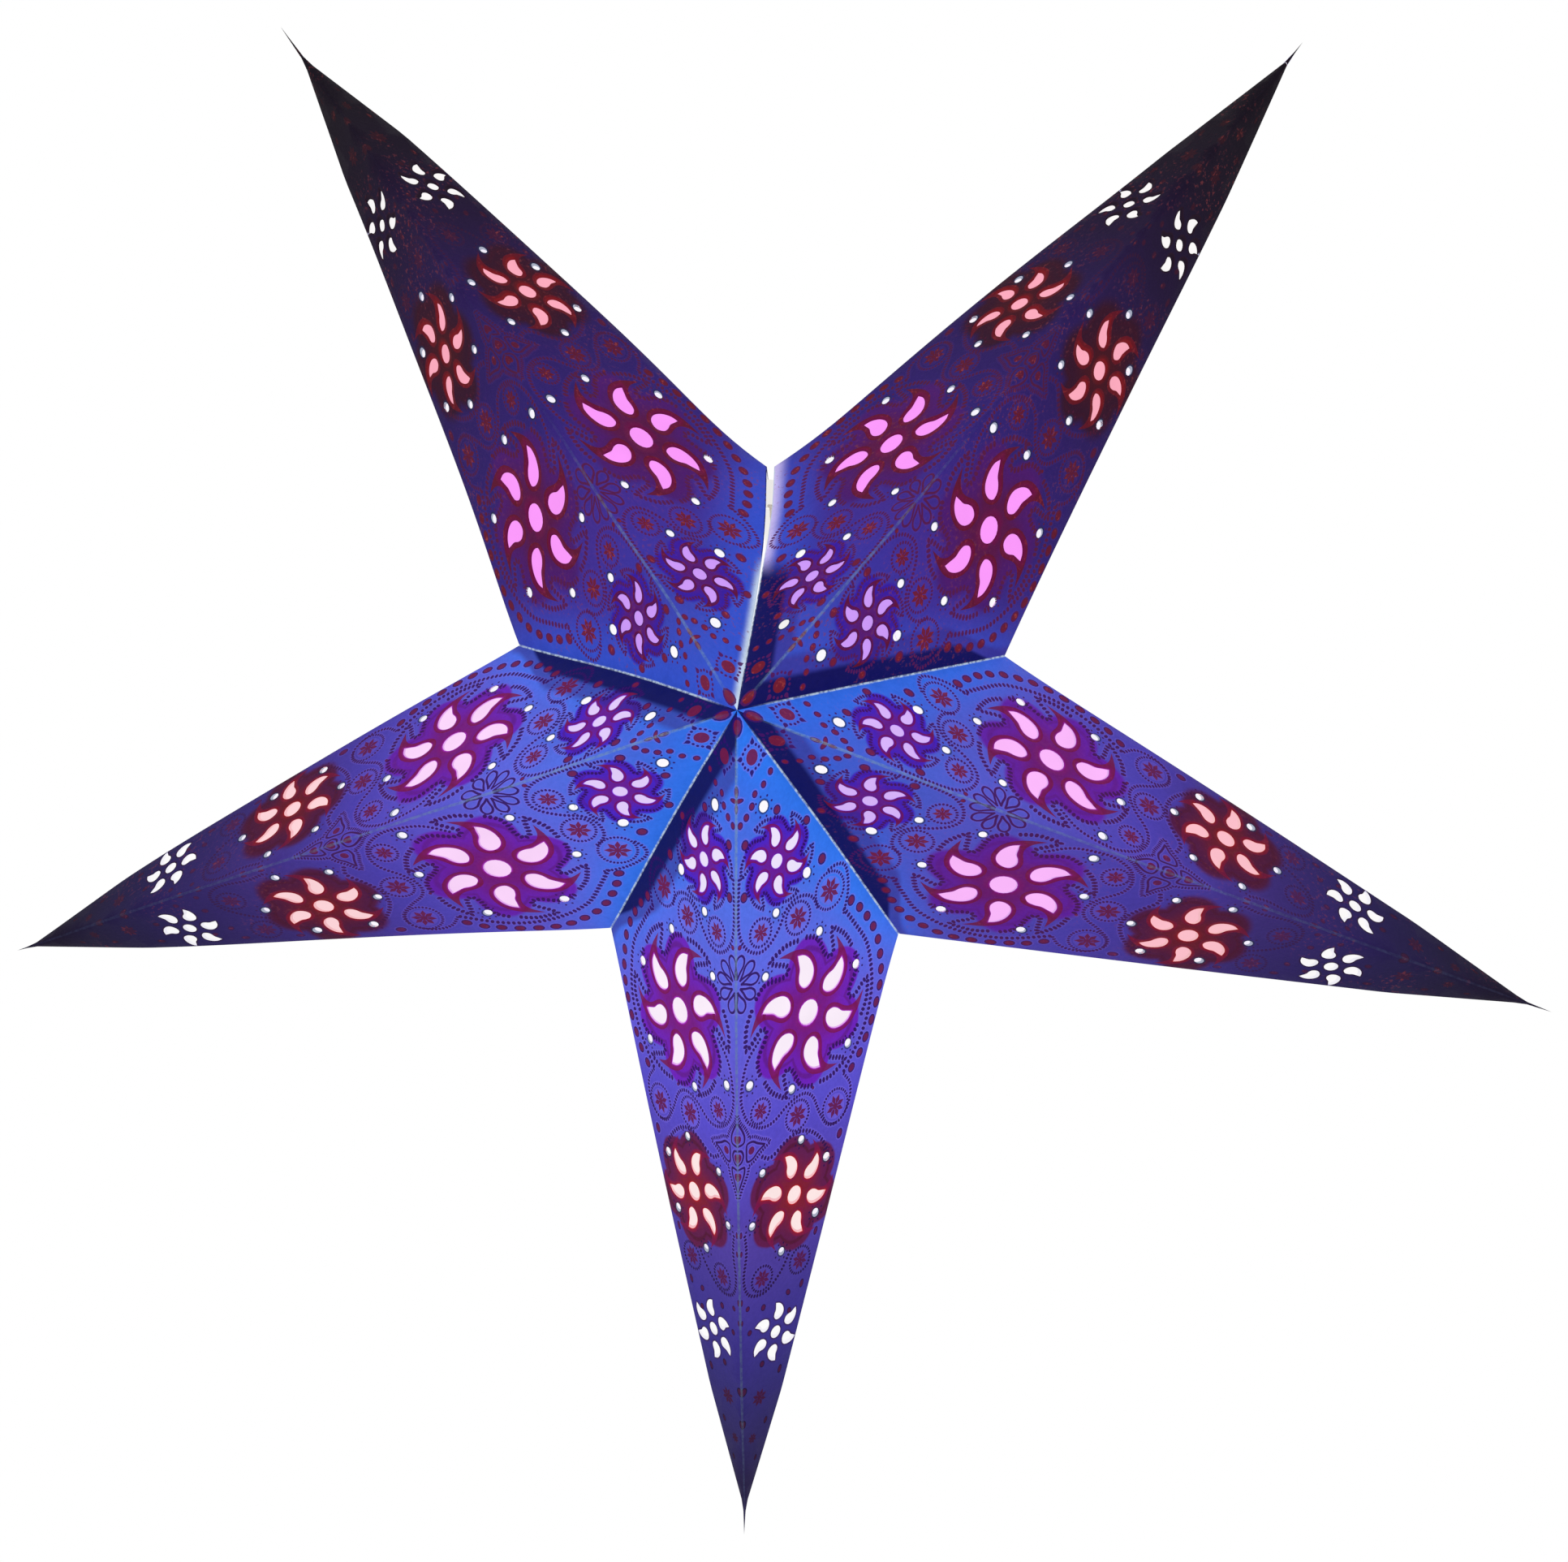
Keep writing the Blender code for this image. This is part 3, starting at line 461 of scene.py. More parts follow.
def smooth_route(points, steps):
    """An open route through the points."""
    places = [Vector(p) for p in points]
    places = [2 * places[0] - places[1], *places, 2 * places[-1] - places[-2]]
    route = []
    for before, start, end, after in zip(places, places[1:], places[2:], places[3:]):
        route += curve_stretch(before, start, end, after, steps)
    return [*route, places[-2]]


def ringed(centre, ring, angle, shares):
    """An outline given in rings about a flower's centre, turned to one petal's angle."""
    way = towards(angle)
    aside = way.orthogonal()
    return [centre + ring * (out * way + over * aside) for out, over in shares]


def oval(centre, half_length, half_width, turn, corners):
    way = towards(turn)
    aside = way.orthogonal()
    points = []
    for angle in angles_round(corners):
        out, over = half_length * math.cos(angle), half_width * math.sin(angle)
        points.append(Vector(centre) + out * way + over * aside)
    return points


def disc(centre, radius, corners, turn=0):
    return oval(centre, radius, radius, turn, corners)


def signed_area(outline):
    """Twice the outline's area, above 0 where it runs anticlockwise."""
    return sum(a.cross(b) for a, b in zip(outline, outline[1:] + outline[:1]))


def anticlockwise(outline):
    return outline[::-1] if signed_area(outline) < 0 else outline


def grown(outline, width):
    """The outline moved outwards all round. It runs either way round."""
    side = 1 if signed_area(outline) > 0 else -1
    moved = []
    for index, point in enumerate(outline):
        way = (outline[(index + 1) % len(outline)] - outline[index - 1]).normalized()
        moved.append(point - side * width * way.orthogonal())
    return moved


def spaced(route, spacing):
    """Places and headings at equal spacing along a route."""
    found, travelled, due = [], 0.0, spacing / 2
    for start, end in zip(route, route[1:]):
        length = (end - start).length
        while length > 0 and due <= travelled + length:
            way = end - start
            found.append((start.lerp(end, (due - travelled) / length), math.atan2(way.y, way.x)))
            due += spacing
        travelled += length
    return found


def drop_outline(base, tip, width):
    """A teardrop from its base to its pointed tip."""
    way = tip - base
    aside = way.orthogonal().normalized() * width / 2
    return smooth_loop([base + out * way + over * aside for out, over in DROP], 3)


class Drawing:
    """Outlines on a flat panel, in millimetres, each with the layer that it shows."""

    def __init__(self, edge):
        self.edge = divided(edge, EDGE_STEP)
        self.outlines, self.margins, self.rims, self.marks = [], [], [], {}

    def add(self, outline, layer):
        self.outlines.append((anticlockwise(outline), layer))

    def blot(self, outline, layer):
        """An inked shape with the pale margin that the wax leaves round it."""
        self.margins.append(grown(outline, MARGIN_WIDTH))
        self.add(outline, layer)

    def dashes(self, route, dash):
        spacing, half_length, half_width = dash
        for place, heading in spaced(route, spacing):
            self.add(oval(place, half_length, half_width, heading, 6), DASH)
            self.margins.append(oval(place, half_length + MARGIN_WIDTH,
                                     half_width + MARGIN_WIDTH, heading, 6))

    def line(self, route, half_width):
        self.margins += self.strip(route, half_width + MARGIN_WIDTH)
        for quad in self.strip(route, half_width):
            self.add(quad, DASH)

    def strip(self, route, half_width):
        """One small rectangle after another along a route."""
        quads = []
        for start, end in zip(route, route[1:]):
            along = (end - start).normalized() * half_width
            across = -along.orthogonal()
            start, end = start - 0.5 * along, end + 0.5 * along
            quads.append([start + across, end + across, end - across, start - across])
        return quads

    def cut(self, outline, rim, mark=1.0):
        """A hole whose edge is marked over a narrow rim: 1 for painted glow, -1 for painted shade.
        """
        if rim > 0:
            self.rims.append(grown(outline, rim))
        self.marks[len(self.outlines)] = mark
        self.add(outline, CUT)

    def mesh(self, grid):
        """Triangles of the drawing: points, triangles, layer of each, and rim of each point."""
        coords, faces, edges, layers_of, marks = [], [], [], [], {}
        under = [(self.edge, PAPER, None)]
        under += [(anticlockwise(outline), MARGIN, None) for outline in self.margins]
        over = [(outline, layer, self.marks.get(index))
                for index, (outline, layer) in enumerate(self.outlines)]
        for outline, layer, mark in under + over:
            start = len(coords)
            coords += [Vector(p) for p in outline]
            faces.append(list(range(start, len(coords))))
            layers_of.append(layer)
            if mark:
                marks.update(dict.fromkeys(range(start, len(coords)), mark))
        for outline in self.rims:
            start, count = len(coords), len(outline)
            coords += outline
            edges += [(start + i, start + (i + 1) % count) for i in range(count)]
        coords += grid
        points, _, triangles, origins, _, owners = delaunay_2d_cdt(
            coords, edges, faces, 0, MERGE_DISTANCE
        )
        kept, layers = [], []
        for triangle, owner in zip(triangles, owners):
            if 0 in owner:
                layer = layers_of[max(owner)]
                if layer != CUT:
                    kept.append(triangle)
                    layers.append(layer)
        rim = [sum({marks.get(place, 0.0) for place in origin}) for origin in origins]
        return tidy_flat(np.array([tuple(p) for p in points]), kept, layers, rim)


def tidy_flat(points, triangles, layers, rim):
    """The flat mesh without its unused points."""
    triangles = np.array(triangles)
    used = np.unique(triangles)
    renumbered = np.full(len(points), -1)
    renumbered[used] = np.arange(len(used))
    return points[used], renumbered[triangles], np.array(layers), np.array(rim)[used]


def panel_corners(settings):
    """The panel's corners in its own flat frame, in millimetres: centre, tip, valley corner."""
    panel = PanelFrame("bottom", "front", "right", settings)
    return [Vector(p) / MM for p in ((0, 0), (panel.length, 0), (panel.corner_along, panel.width))]


def inset_corners(corners, insets):
    """The corners after each side moves in: ridge, outer edge, valley edge."""
    lines = []
    for index, inset in enumerate(insets):
        start, end = corners[index], corners[(index + 1) % 3]
        way = (end - start).normalized()
        lines.append((start + inset * way.orthogonal(), way))
    moved = []
    for index in range(3):
        (start, way), (other, other_way) = lines[index - 1], lines[index]
        moved.append(start + (other - start).cross(other_way) / way.cross(other_way) * way)
    return moved


def divided(corners, step):
    """The corners' closed outline in short stretches."""
    points = []
    for start, end in zip(corners, [*corners[1:], corners[0]]):
        count = math.ceil((end - start).length / step)
        points += [start.lerp(end, index / count) for index in range(count)]
    return points


def grid_points(corners, step):
    """Places inside the panel, spread evenly."""
    points = []
    slope = corners[2].y / corners[2].x
    for row in range(1, int(corners[2].y / step) + 1):
        v = row * step
        start, end = v / slope, corners[1].x - v * (corners[1].x - corners[2].x) / corners[2].y
        count = int((end - start) / step)
        for index in range(count):
            points.append(Vector((start + (index + 0.5) * (end - start) / count, v)))
    return points


def draw_flower(drawing, flower, index):
    *place, ring = flower
    centre, rim = Vector(place), RIM_WIDTHS[index]
    is_last = index == len(FLOWERS) - 1
    turn, fatness = (LAST_TURN, LAST_FATNESS) if is_last else (PETAL_TURN, 1.0)
    if not is_last:
        for angle in angles_round(PETALS):
            tail = ringed(centre, ring, turn + angle, FLAME_TAIL)
            drawing.add(smooth_loop(tail, 2), FLAME)
    shares = [(out, fatness * over) for out, over in PETAL]
    for angle in angles_round(PETALS):
        petal = ringed(centre, ring, turn + angle, shares)
        drawing.cut(smooth_loop(petal, PETAL_STEPS[index]), rim)
    drawing.cut(disc(centre, EYE_SHARE * ring, 20, PETAL_TURN), rim)


def draw_tail_dashes(drawing, flower):
    """Round dashes down both sides of a flower's printed tails, sized for the second flower."""
    *place, ring = flower
    size = (ring / FLOWERS[1][2]) ** 0.6
    for angle in angles_round(PETALS):
        route = smooth_route(ringed(Vector(place), ring, PETAL_TURN + angle, TAIL_ROUTE), 4)
        drawing.dashes(route, [size * value for value in TAIL_DASH])


def draw_rosette(drawing, rosette):
    *place, circle, star = rosette
    centre = Vector(place)
    for angle in angles_round(ROSETTE_POINTS, 0.35):
        drawing.add(ringed(centre, star, angle, ROSETTE_POINT), MAROON)
    drawing.add(disc(centre, ROSETTE_EYE * star, 10), MAROON)
    drawing.margins.append(disc(centre, star + ROSETTE_MARGIN, 16))
    if circle:
        drawing.dashes(disc(centre, circle, 40) + [centre + Vector((circle, 0))], CIRCLE_DASH)


def draw_daisy(drawing):
    *place, inner, outer = DAISY
    width, line = DAISY_PETAL
    for angle in DAISY_ANGLES:
        way = towards(math.radians(angle))
        petal = drop_outline(Vector(place) + outer * way, Vector(place) + inner * way, width)
        drawing.line([*petal, petal[0]], line)


def draw_trefoil(drawing):
    for points in TREFOIL_LINES:
        drawing.line(smooth_route(points, 3), TREFOIL_LINE)
    drawing.dashes(smooth_route(TREFOIL_EDGE, 3), TREFOIL_DASH)
    for *place, radius in TREFOIL_OVALS:
        drawing.blot(disc(place, radius, 10), MAROON)


def draw_lozenge(drawing):
    """An oval in a ring of dots with four pointed tips."""
    *place, radius, reach = LOZENGE
    centre = Vector(place)
    drawing.blot(oval(centre, radius * 1.04, radius * 0.96, 0, 16), MAROON)
    for index, angle in enumerate(angles_round(16)):
        way = towards(angle)
        if index % 4:
            drawing.blot(oval(centre + reach * way, *LOZENGE_DOT, angle, 7), DASH)
        else:
            base, tip = (centre + share * reach * way for share in LOZENGE_TIP)
            drawing.blot(drop_outline(base, tip, LOZENGE_TIP_WIDTH), DASH)


def draw_print(drawing):
    """The whole printed pattern, from the tails up to the holes."""
    for rosette in ROSETTES:
        draw_rosette(drawing, rosette)
    for size, route in VINES:
        drawing.dashes(smooth_route(route, 5), [size * value for value in VINE_DASH])
    draw_daisy(drawing)
    draw_trefoil(drawing)
    draw_lozenge(drawing)
    for *place, half_length, half_width, degrees in OVALS:
        turn = math.radians(degrees)
        drawing.blot(oval(place, half_length, half_width, turn, 12), DASH)
        middle = oval(place, OVAL_MIDDLE * half_length, OVAL_MIDDLE * half_width, turn, 10)
        drawing.add(middle, MAROON)
    for flower in FLOWERS[:2]:
        draw_tail_dashes(drawing, flower)
    for *place, radius in PUNCHED:
        for angle in angles_round(8, 0.5):
            dot = Vector(place) + (radius + DOT_RING) * towards(angle)
            drawing.add(oval(dot, *DOT, angle, 6), DASH)
    for index, flower in enumerate(FLOWERS):
        draw_flower(drawing, flower, index)
    for *place, radius in PUNCHED:
        drawing.cut(punched_hole(place, radius, SHEET_PUNCH), PUNCHED_RIM, -1.0)


def punched_hole(place, radius, punch):
    """A slightly squashed hole, as a hand punch leaves it."""
    return oval(place, radius * punch[0], radius * punch[1], PUNCH_TURN, 12)


def patch_outline(flower, patch):
    """The wavy edge of the tissue behind a flower."""
    along, across, ring = flower
    radius, depth = patch
    outline = []
    for angle in angles_round(48):
        lobe = abs(math.cos(PATCH_LOBES * (angle - PATCH_TURN))) - LOBE_MEAN
        reach = ring * radius * (1 + 2 * depth * lobe)
        outline.append(Vector((along + reach * math.cos(angle), across + reach * math.sin(angle))))
    return outline


# Folding the flat drawing into the star -----------------------------------------------------


def arm_pitch(settings):
    """The angle from one arm to the next, and the angle of the open seam."""
    seam_angle = 2 * math.asin(SEAM_GAP / 2 / settings.valley_radius)
    return (2 * math.pi - seam_angle) / len(ARM_STEPS), seam_angle


class PanelFrame:
    """Where one panel lies: its flat frame has u along the ridge and v across to the valley."""

    def __init__(self, arm, face, side, settings):
        pitch, _ = arm_pitch(settings)
        depth = -settings.half_depth if face == "front" else settings.half_depth
        across = math.sin(pitch / 2) * (1 if side == "right" else -1)
        turn = Matrix.Rotation(ARM_STEPS[arm] * pitch, 3, "Y")
        self.centre = turn @ Vector((0, depth, 0))
        tip = turn @ Vector((0, 0, -settings.tip_radius))
        corner = turn @ (settings.valley_radius * Vector((across, 0, -math.cos(pitch / 2))))
        ridge, edge = tip - self.centre, corner - self.centre
        self.length = ridge.length
        self.along = ridge.normalized()
        self.corner_along = edge.dot(self.along)
        self.across = edge - self.corner_along * self.along
        self.width = self.across.length
        self.across.normalize()
        normal = self.along.cross(self.across)
        self.flips = normal.dot(self.centre) < 0
        self.outward = -normal if self.flips else normal
        self.arm, self.turn, self.settings = arm, turn, settings
        self.seed = 7.3 * list(product(ARM_STEPS, FACES, SIDES)).index((arm, face, side))

    def crease_insets(self, thickness):
        """How far the inner face stays back from the ridge and the outer edge."""
        x_axis = self.turn @ Vector((1, 0, 0))
        ridge_sine = abs(self.across.dot(x_axis))
        corner = self.centre + self.corner_along * self.along + self.width * self.across
        tip = self.centre + self.length * self.along
        edge_across = (corner - tip).normalized().cross(self.outward).normalized()
        edge_sine = abs(edge_across.dot(Vector((0, 1, 0))))
        return [thickness * math.sqrt(1 - s * s) / s for s in (ridge_sine, edge_sine)]

    def fold(self, flat, inset):
        """Flat points, in metres, as points of the star, moved into it by an inset."""
        heights = self.ripple(flat) - inset
        points = (
            np.array(self.centre)
            + flat[:, :1] * np.array(self.along)
            + flat[:, 1:2] * np.array(self.across)
            + heights[:, None] * np.array(self.outward)
        )
        return self.stray(points) - np.array((0, 0, self.settings.hang_height))

    def ripple(self, flat):
        """The paper's soft waves, which die out at its creases."""
        corner = np.array((self.corner_along, self.width))
        tip = np.array((self.length, 0))
        valley = corner / np.linalg.norm(corner)
        edge = (tip - corner) / np.linalg.norm(tip - corner)
        to_valley = flat[:, 0] * valley[1] - flat[:, 1] * valley[0]
        to_edge = np.abs((flat[:, 0] - tip[0]) * edge[1] - flat[:, 1] * edge[0])
        near = np.minimum(np.minimum(flat[:, 1], to_valley), to_edge)
        fade = np.clip(near / RIPPLE_FADE, 0, 1)
        waves = np.array([
            sum(height * noise.noise(Vector((u * along, v * across, self.seed + shift)))
                for along, across, shift, height in RIPPLES)
            for u, v in flat
        ])
        return self.settings.cockle * waves * fade * fade * (3 - 2 * fade)

    def stray(self, points):
        """The arm as it really hangs: its thin tip, and how the whole star strays."""
        turn = np.array(self.turn)
        local = points @ turn
        out = -local[:, 2]
        aim, thin = TAILS[self.arm]
        tip = self.settings.tip_radius
        share = (tip - TAIL_START) * (aim - out) / (aim - TAIL_START) / np.maximum(tip - out, 1e-6)
        share = np.where(out < TAIL_START, 1, np.maximum(share, thin))
        local[:, 0] *= share
        local[:, 1] *= share
        points = local @ turn.T
        return points + stray_shift(points, self.settings)


def stray_kernel(places, nodes):
    """How strongly each node acts at each place."""
    apart = places[:, None, :] - nodes[None, :, :]
    return np.sqrt((apart**2).sum(axis=2) + STRAY_SOFTNESS**2)


def stray_shift(points, settings):
    """How far each point of the star, measured from its centre, lies from an even star."""
    pitch, _ = arm_pitch(settings)
    table = np.array(STRAYS)
    angles, reach = table[:, 0] * pitch, table[:, 1] * MM
    nodes = np.column_stack([-reach * np.sin(angles), -reach * np.cos(angles)])
    weights = np.linalg.solve(stray_kernel(nodes, nodes), table[:, 2:] * MM)
    moved = stray_kernel(points[:, [0, 2]], nodes) @ weights
    lift = np.clip(-points[:, 1:2] / settings.half_depth, 0, 1) * np.array(CENTRE_LIFT)
    moved = moved + lift
    share = np.clip(points[:, 2] / settings.valley_radius, 0, 1)
    rise = np.clip(2 * share - 1, 0, 1)
    closing = SEAM_CLOSING[0] - SEAM_CLOSING[1] * rise * rise * (3 - 2 * rise)
    near = np.clip(1 - np.abs(points[:, 0]) / SEAM_PULL, 0, 1) ** 2
    pull = -np.sign(points[:, 0]) * closing * near * share * SEAM_GAP / 2
    left, right = (np.interp(share, SEAM_BOW[0], bow) for bow in SEAM_BOW[1:])
    pull += near * np.where(points[:, 0] < 0, left, right) * MM
    return np.column_stack([moved[:, 0] + pull, np.zeros(len(points)), moved[:, 1]])


def solid_from_flat(name, outer, inner, triangles, flips):
    """A closed thin sheet: its outer face, its inner face and walls round every edge.

    They have its three materials, in that order.
    """
    count = len(outer)
    front = triangles[:, ::-1] if flips else triangles
    back = front[:, ::-1] + count
    edges = np.concatenate([front[:, [0, 1]], front[:, [1, 2]], front[:, [2, 0]]])
    keys = {(a, b) for a, b in edges.tolist()}
    walls = [(b, a, a + count, b + count) for a, b in edges.tolist() if (b, a) not in keys]
    mesh = bpy.data.meshes.new(name)
    mesh.from_pydata(
        np.concatenate([outer, inner]).tolist(), [], front.tolist() + back.tolist() + walls
    )
    kinds = np.minimum(np.arange(len(mesh.polygons)) // len(front), 2).astype(np.int32)
    mesh.polygons.foreach_set("material_index", kinds)
    mesh.polygons.foreach_set("use_smooth", kinds < 2)
    return mesh


def set_values(mesh, name, domain, values):
    attribute = mesh.attributes.new(name, "FLOAT_VECTOR", domain)
    attribute.data.foreach_set("vector", np.asarray(values, np.float32).ravel())


def panel_mesh(name, panel, flats, depths, triangles, rim, state):
    """A thin layer on a panel, with its places, marks and state for the shaders."""
    outer, inner = (panel.fold(flat, depth) for flat, depth in zip(flats, depths))
    mesh = solid_from_flat(name, outer, inner, triangles, panel.flips)
    places = np.column_stack([flats[0], rim])
    set_values(mesh, "sheet", "POINT", np.concatenate([places, places]))
    set_values(mesh, "panel_state", "POINT", [state] * len(mesh.vertices))
    return mesh


def panel_state(arm, side):
    """Whether a glue flap lies behind the panel, its share of painted shade, and its seam's side.
    """
    seam = SEAM_PANELS.get((arm, side), 0.0)
    flap = 1.0 if side == "left" and seam == 0 or seam > 0 else 0.0
    dark = 1.0 if arm in UPPER_ARMS else SHADED_PANELS.get((arm, side), 0.0)
    return flap, dark, seam


def squash_with_arm(piece, arm):
    """The piece rides on its arm, with a mesh of its own."""
    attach(piece, f"{arm}_arm")
    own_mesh(piece)


def add_piece(name, mesh, materials):
    """The mesh as a piece of the scene."""
    for material in materials:
        mesh.materials.append(material)
    piece = bpy.data.objects.new(name, mesh)
    bpy.context.scene.collection.objects.link(piece)
    return piece


def inner_flat(flat, settings):
    """The flat points of the sheet's inner face, drawn in from its creases."""
    panel = PanelFrame("bottom", "front", "right", settings)
    corners = [v * MM for v in panel_corners(settings)]
    ridge, edge = panel.crease_insets(settings.thickness)
    moved = inset_corners(corners, (ridge, edge, 0.0))
    tip, corner = np.array(corners[1]), np.array(corners[2])
    shares = np.linalg.solve(np.array((tip, corner)).T, flat.T).T
    centre, tip, corner = (np.array(v) for v in moved)
    return centre + shares[:, :1] * (tip - centre) + shares[:, 1:] * (corner - centre)


def stray_mesh(mesh, settings, clear=False):
    """Moves a mesh as the star strays, but, where asked, leaves what lies by the lamp."""
    places = np.empty(len(mesh.vertices) * 3)
    mesh.vertices.foreach_get("co", places)
    places = places.reshape(-1, 3)
    shift = stray_shift(places + np.array((0, 0, settings.hang_height)), settings)
    if clear:
        away = np.clip((np.abs(places[:, 1]) - LAMP_CLEAR[0]) / LAMP_CLEAR[1], 0, 1)
        shift *= away[:, None]
    mesh.vertices.foreach_set("co", (places + shift).ravel())
    mesh.update()
    return mesh


# Shader helpers and shared effects ----------------------------------------------------------


class Value:
    """A value in a node tree. Plain sums with it add the nodes that work them out."""

    def __init__(self, socket):
        self.socket, self.tree = socket, socket.id_data

    def __add__(self, other):
        return maths("ADD", self, other)

    def __sub__(self, other):
        return maths("SUBTRACT", self, other)

    def __rsub__(self, other):
        return maths("SUBTRACT", other, self)

    def __mul__(self, other):
        return maths("MULTIPLY", self, other)

    def __truediv__(self, other):
        return maths("DIVIDE", self, other)

    def __pow__(self, other):
        return maths("POWER", self, other)

    def __abs__(self):
        return maths("ABSOLUTE", self)

    def eased(self, start, end, low=0.0, high=1.0):
        """A soft step from low, where the value is start, to high, where it is end."""
        inputs = dict(enumerate((self, start, end, low, high)))
        return outputs(self.tree, "ShaderNodeMapRange", inputs, interpolation_type="SMOOTHSTEP")[0]


def fill(node, inputs):
    """Sets a node's inputs, or links the ones that are given as shader values."""
    for key, value in inputs.items():
        if isinstance(value, Value):
            node.id_data.links.new(value.socket, node.inputs[key])
        else:
            node.inputs[key].default_value = value


def add_node(tree, kind, inputs=None, **settings):
    """A new node with its settings, which can change its inputs, and then its inputs."""
    made = tree.nodes.new(kind)
    for name, value in settings.items():
        setattr(made, name, value)
    fill(made, inputs or {})
    return made


def node_values(made):
    """A node's outputs, by place and by name."""
    values = {}
    for index, socket in enumerate(made.outputs):
        values[index] = values[socket.name] = Value(socket)
    return values


def outputs(tree, kind, inputs=None, **settings):
    """The outputs of a new node."""
    return node_values(add_node(tree, kind, inputs, **settings))


def maths(operation, *inputs):
    """A maths node. At least one of its inputs is a shader value."""
    tree = next(value.tree for value in inputs if isinstance(value, Value))
    return outputs(tree, "ShaderNodeMath", dict(enumerate(inputs)), operation=operation)[0]


def above_zero(value):
    return maths("MAXIMUM", value, 0.0)


def mixed(factor, first, second):
    """A colour between two others."""
    return outputs(factor.tree, "ShaderNodeMix", {0: factor, 6: first, 7: second},
                   data_type="RGBA")[2]


def scaled(vector, level):
    """A place or a colour times one number."""
    return outputs(vector.tree, "ShaderNodeVectorMath", {0: vector, 3: level},
                   operation="SCALE")[0]


def ramp(value, stops, interpolation="LINEAR"):
    """A colour ramp from (place, colour) stops."""
    made = add_node(value.tree, "ShaderNodeValToRGB", {0: value})
    band = made.color_ramp
    band.interpolation = interpolation
    while len(band.elements) < len(stops):
        band.elements.new(0.5)
    for element, (place, colour) in zip(band.elements, stops):
        element.position = place
        element.color = (*colour[:3], 1)
    return node_values(made)[0]


def painted(table):
    """A table's stops with their paint box shades as colours."""
    return [(place, srgb(*shade)) for place, *shade in table]


def attribute_parts(tree, name):
    """A named attribute, whole and as its three numbers."""
    whole = outputs(tree, "ShaderNodeAttribute", attribute_name=name)["Vector"]
    return whole, outputs(tree, "ShaderNodeSeparateXYZ", {0: whole})


def clouded(place, **inputs):
    """A cloudy noise over the place, from 0 to 1."""
    return outputs(place.tree, "ShaderNodeTexNoise", {"Vector": place, **inputs})[0]


def stretched(place, turn, stretch):
    inputs = {"Vector": place, "Rotation": turn, "Scale": stretch}
    return outputs(place.tree, "ShaderNodeMapping", inputs)[0]


def add_sockets(group, direction, labels):
    """Sockets of a group. They carry numbers, apart from those in the table."""
    for label in labels:
        kind = SOCKET_KINDS.get(label, "NodeSocketFloat")
        group.interface.new_socket(label, in_out=direction, socket_type=kind)


def new_group(name, *labels):
    """A new group and its labelled inputs."""
    group = bpy.data.node_groups.new(name, "ShaderNodeTree")
    add_sockets(group, "INPUT", labels)
    return group, outputs(group, "NodeGroupInput")


def close_group(group, **results):
    """Gives the group its labelled outputs."""
    add_sockets(group, "OUTPUT", results)
    add_node(group, "NodeGroupOutput", results)
    return group


def sheet_lines_group():
    """Distances on a panel, in metres: along and across its ridge, to the valley and the edge."""
    group, given = new_group("sheet_lines", "Place")
    centre, tip, corner = (v * MM for v in panel_corners(bpy.context.scene.lantern_paper))
    parts = outputs(group, "ShaderNodeSeparateXYZ", {0: given["Place"]})
    valley, edge = (corner - centre).normalized(), (tip - corner).normalized()
    to_valley = parts[0] * valley.y - parts[1] * valley.x
    to_edge = abs(parts[0] * edge.y - parts[1] * edge.x - tip.x * edge.y)
    return close_group(group, Along=parts[0], Across=parts[1], Valley=to_valley, Edge=to_edge)


def patch_shadow_group():
    """Where a scalloped tissue patch shows through the paper from behind."""
    group, given = new_group("patch_shadow", "Along", "Across", "Centre Along", "Centre Across",
                             "Radius", "Lobes", "Blur", "Waver")
    u = given["Along"] - given["Centre Along"]
    v = given["Across"] - given["Centre Across"]
    distance = maths("SQRT", u * u + v * v)
    angle = maths("ARCTAN2", v, u) - PATCH_TURN
    lobes = (abs(maths("COSINE", angle * PATCH_LOBES)) - LOBE_MEAN) * given["Lobes"]
    reach = (lobes + 1.0 + given["Waver"]) * given["Radius"]
    mask = ((reach - distance) / given["Blur"]).eased(-0.5, 0.5)
    line = abs(distance / reach - SCALLOP_PLACE).eased(0.055, 0.015)
    return close_group(group, Mask=mask, Line=line)


def handmade_paper_group():
    """Cloudy pulp and crossing fibres of handmade paper."""
    group, given = new_group("handmade_paper", "Scale")
    place = scaled(outputs(group, "ShaderNodeTexCoord")["Object"], given["Scale"])
    pulp = clouded(place, Scale=620.0, Detail=4.0, Roughness=0.62)
    strands = []
    for turn in ((0.3, 0.2, 0.5), (1.4, 0.9, 2.1)):
        strand = clouded(stretched(place, turn, (1.0, 9.0, 9.0)), Scale=110.0, Detail=2.0,
                         Distortion=0.8)
        strands.append(abs(strand - 0.5).eased(0.0, 0.02, 1.0, 0.0))
    fibres = maths("MAXIMUM", *strands)
    return close_group(group, Cloud=clouded(place, Scale=34.0, Detail=3.0), Pulp=pulp,
                       Fibres=fibres, Height=pulp + fibres * 0.5)


def lit_through_group():
    """Splits a lit colour into what the surface reflects and what shines through it."""
    group, given = new_group("lit_through", "Colour", "Through")
    colour, through = given["Colour"], given["Through"]
    return close_group(group, Base=scaled(colour, 1.0 - through), Glow=scaled(colour, through))


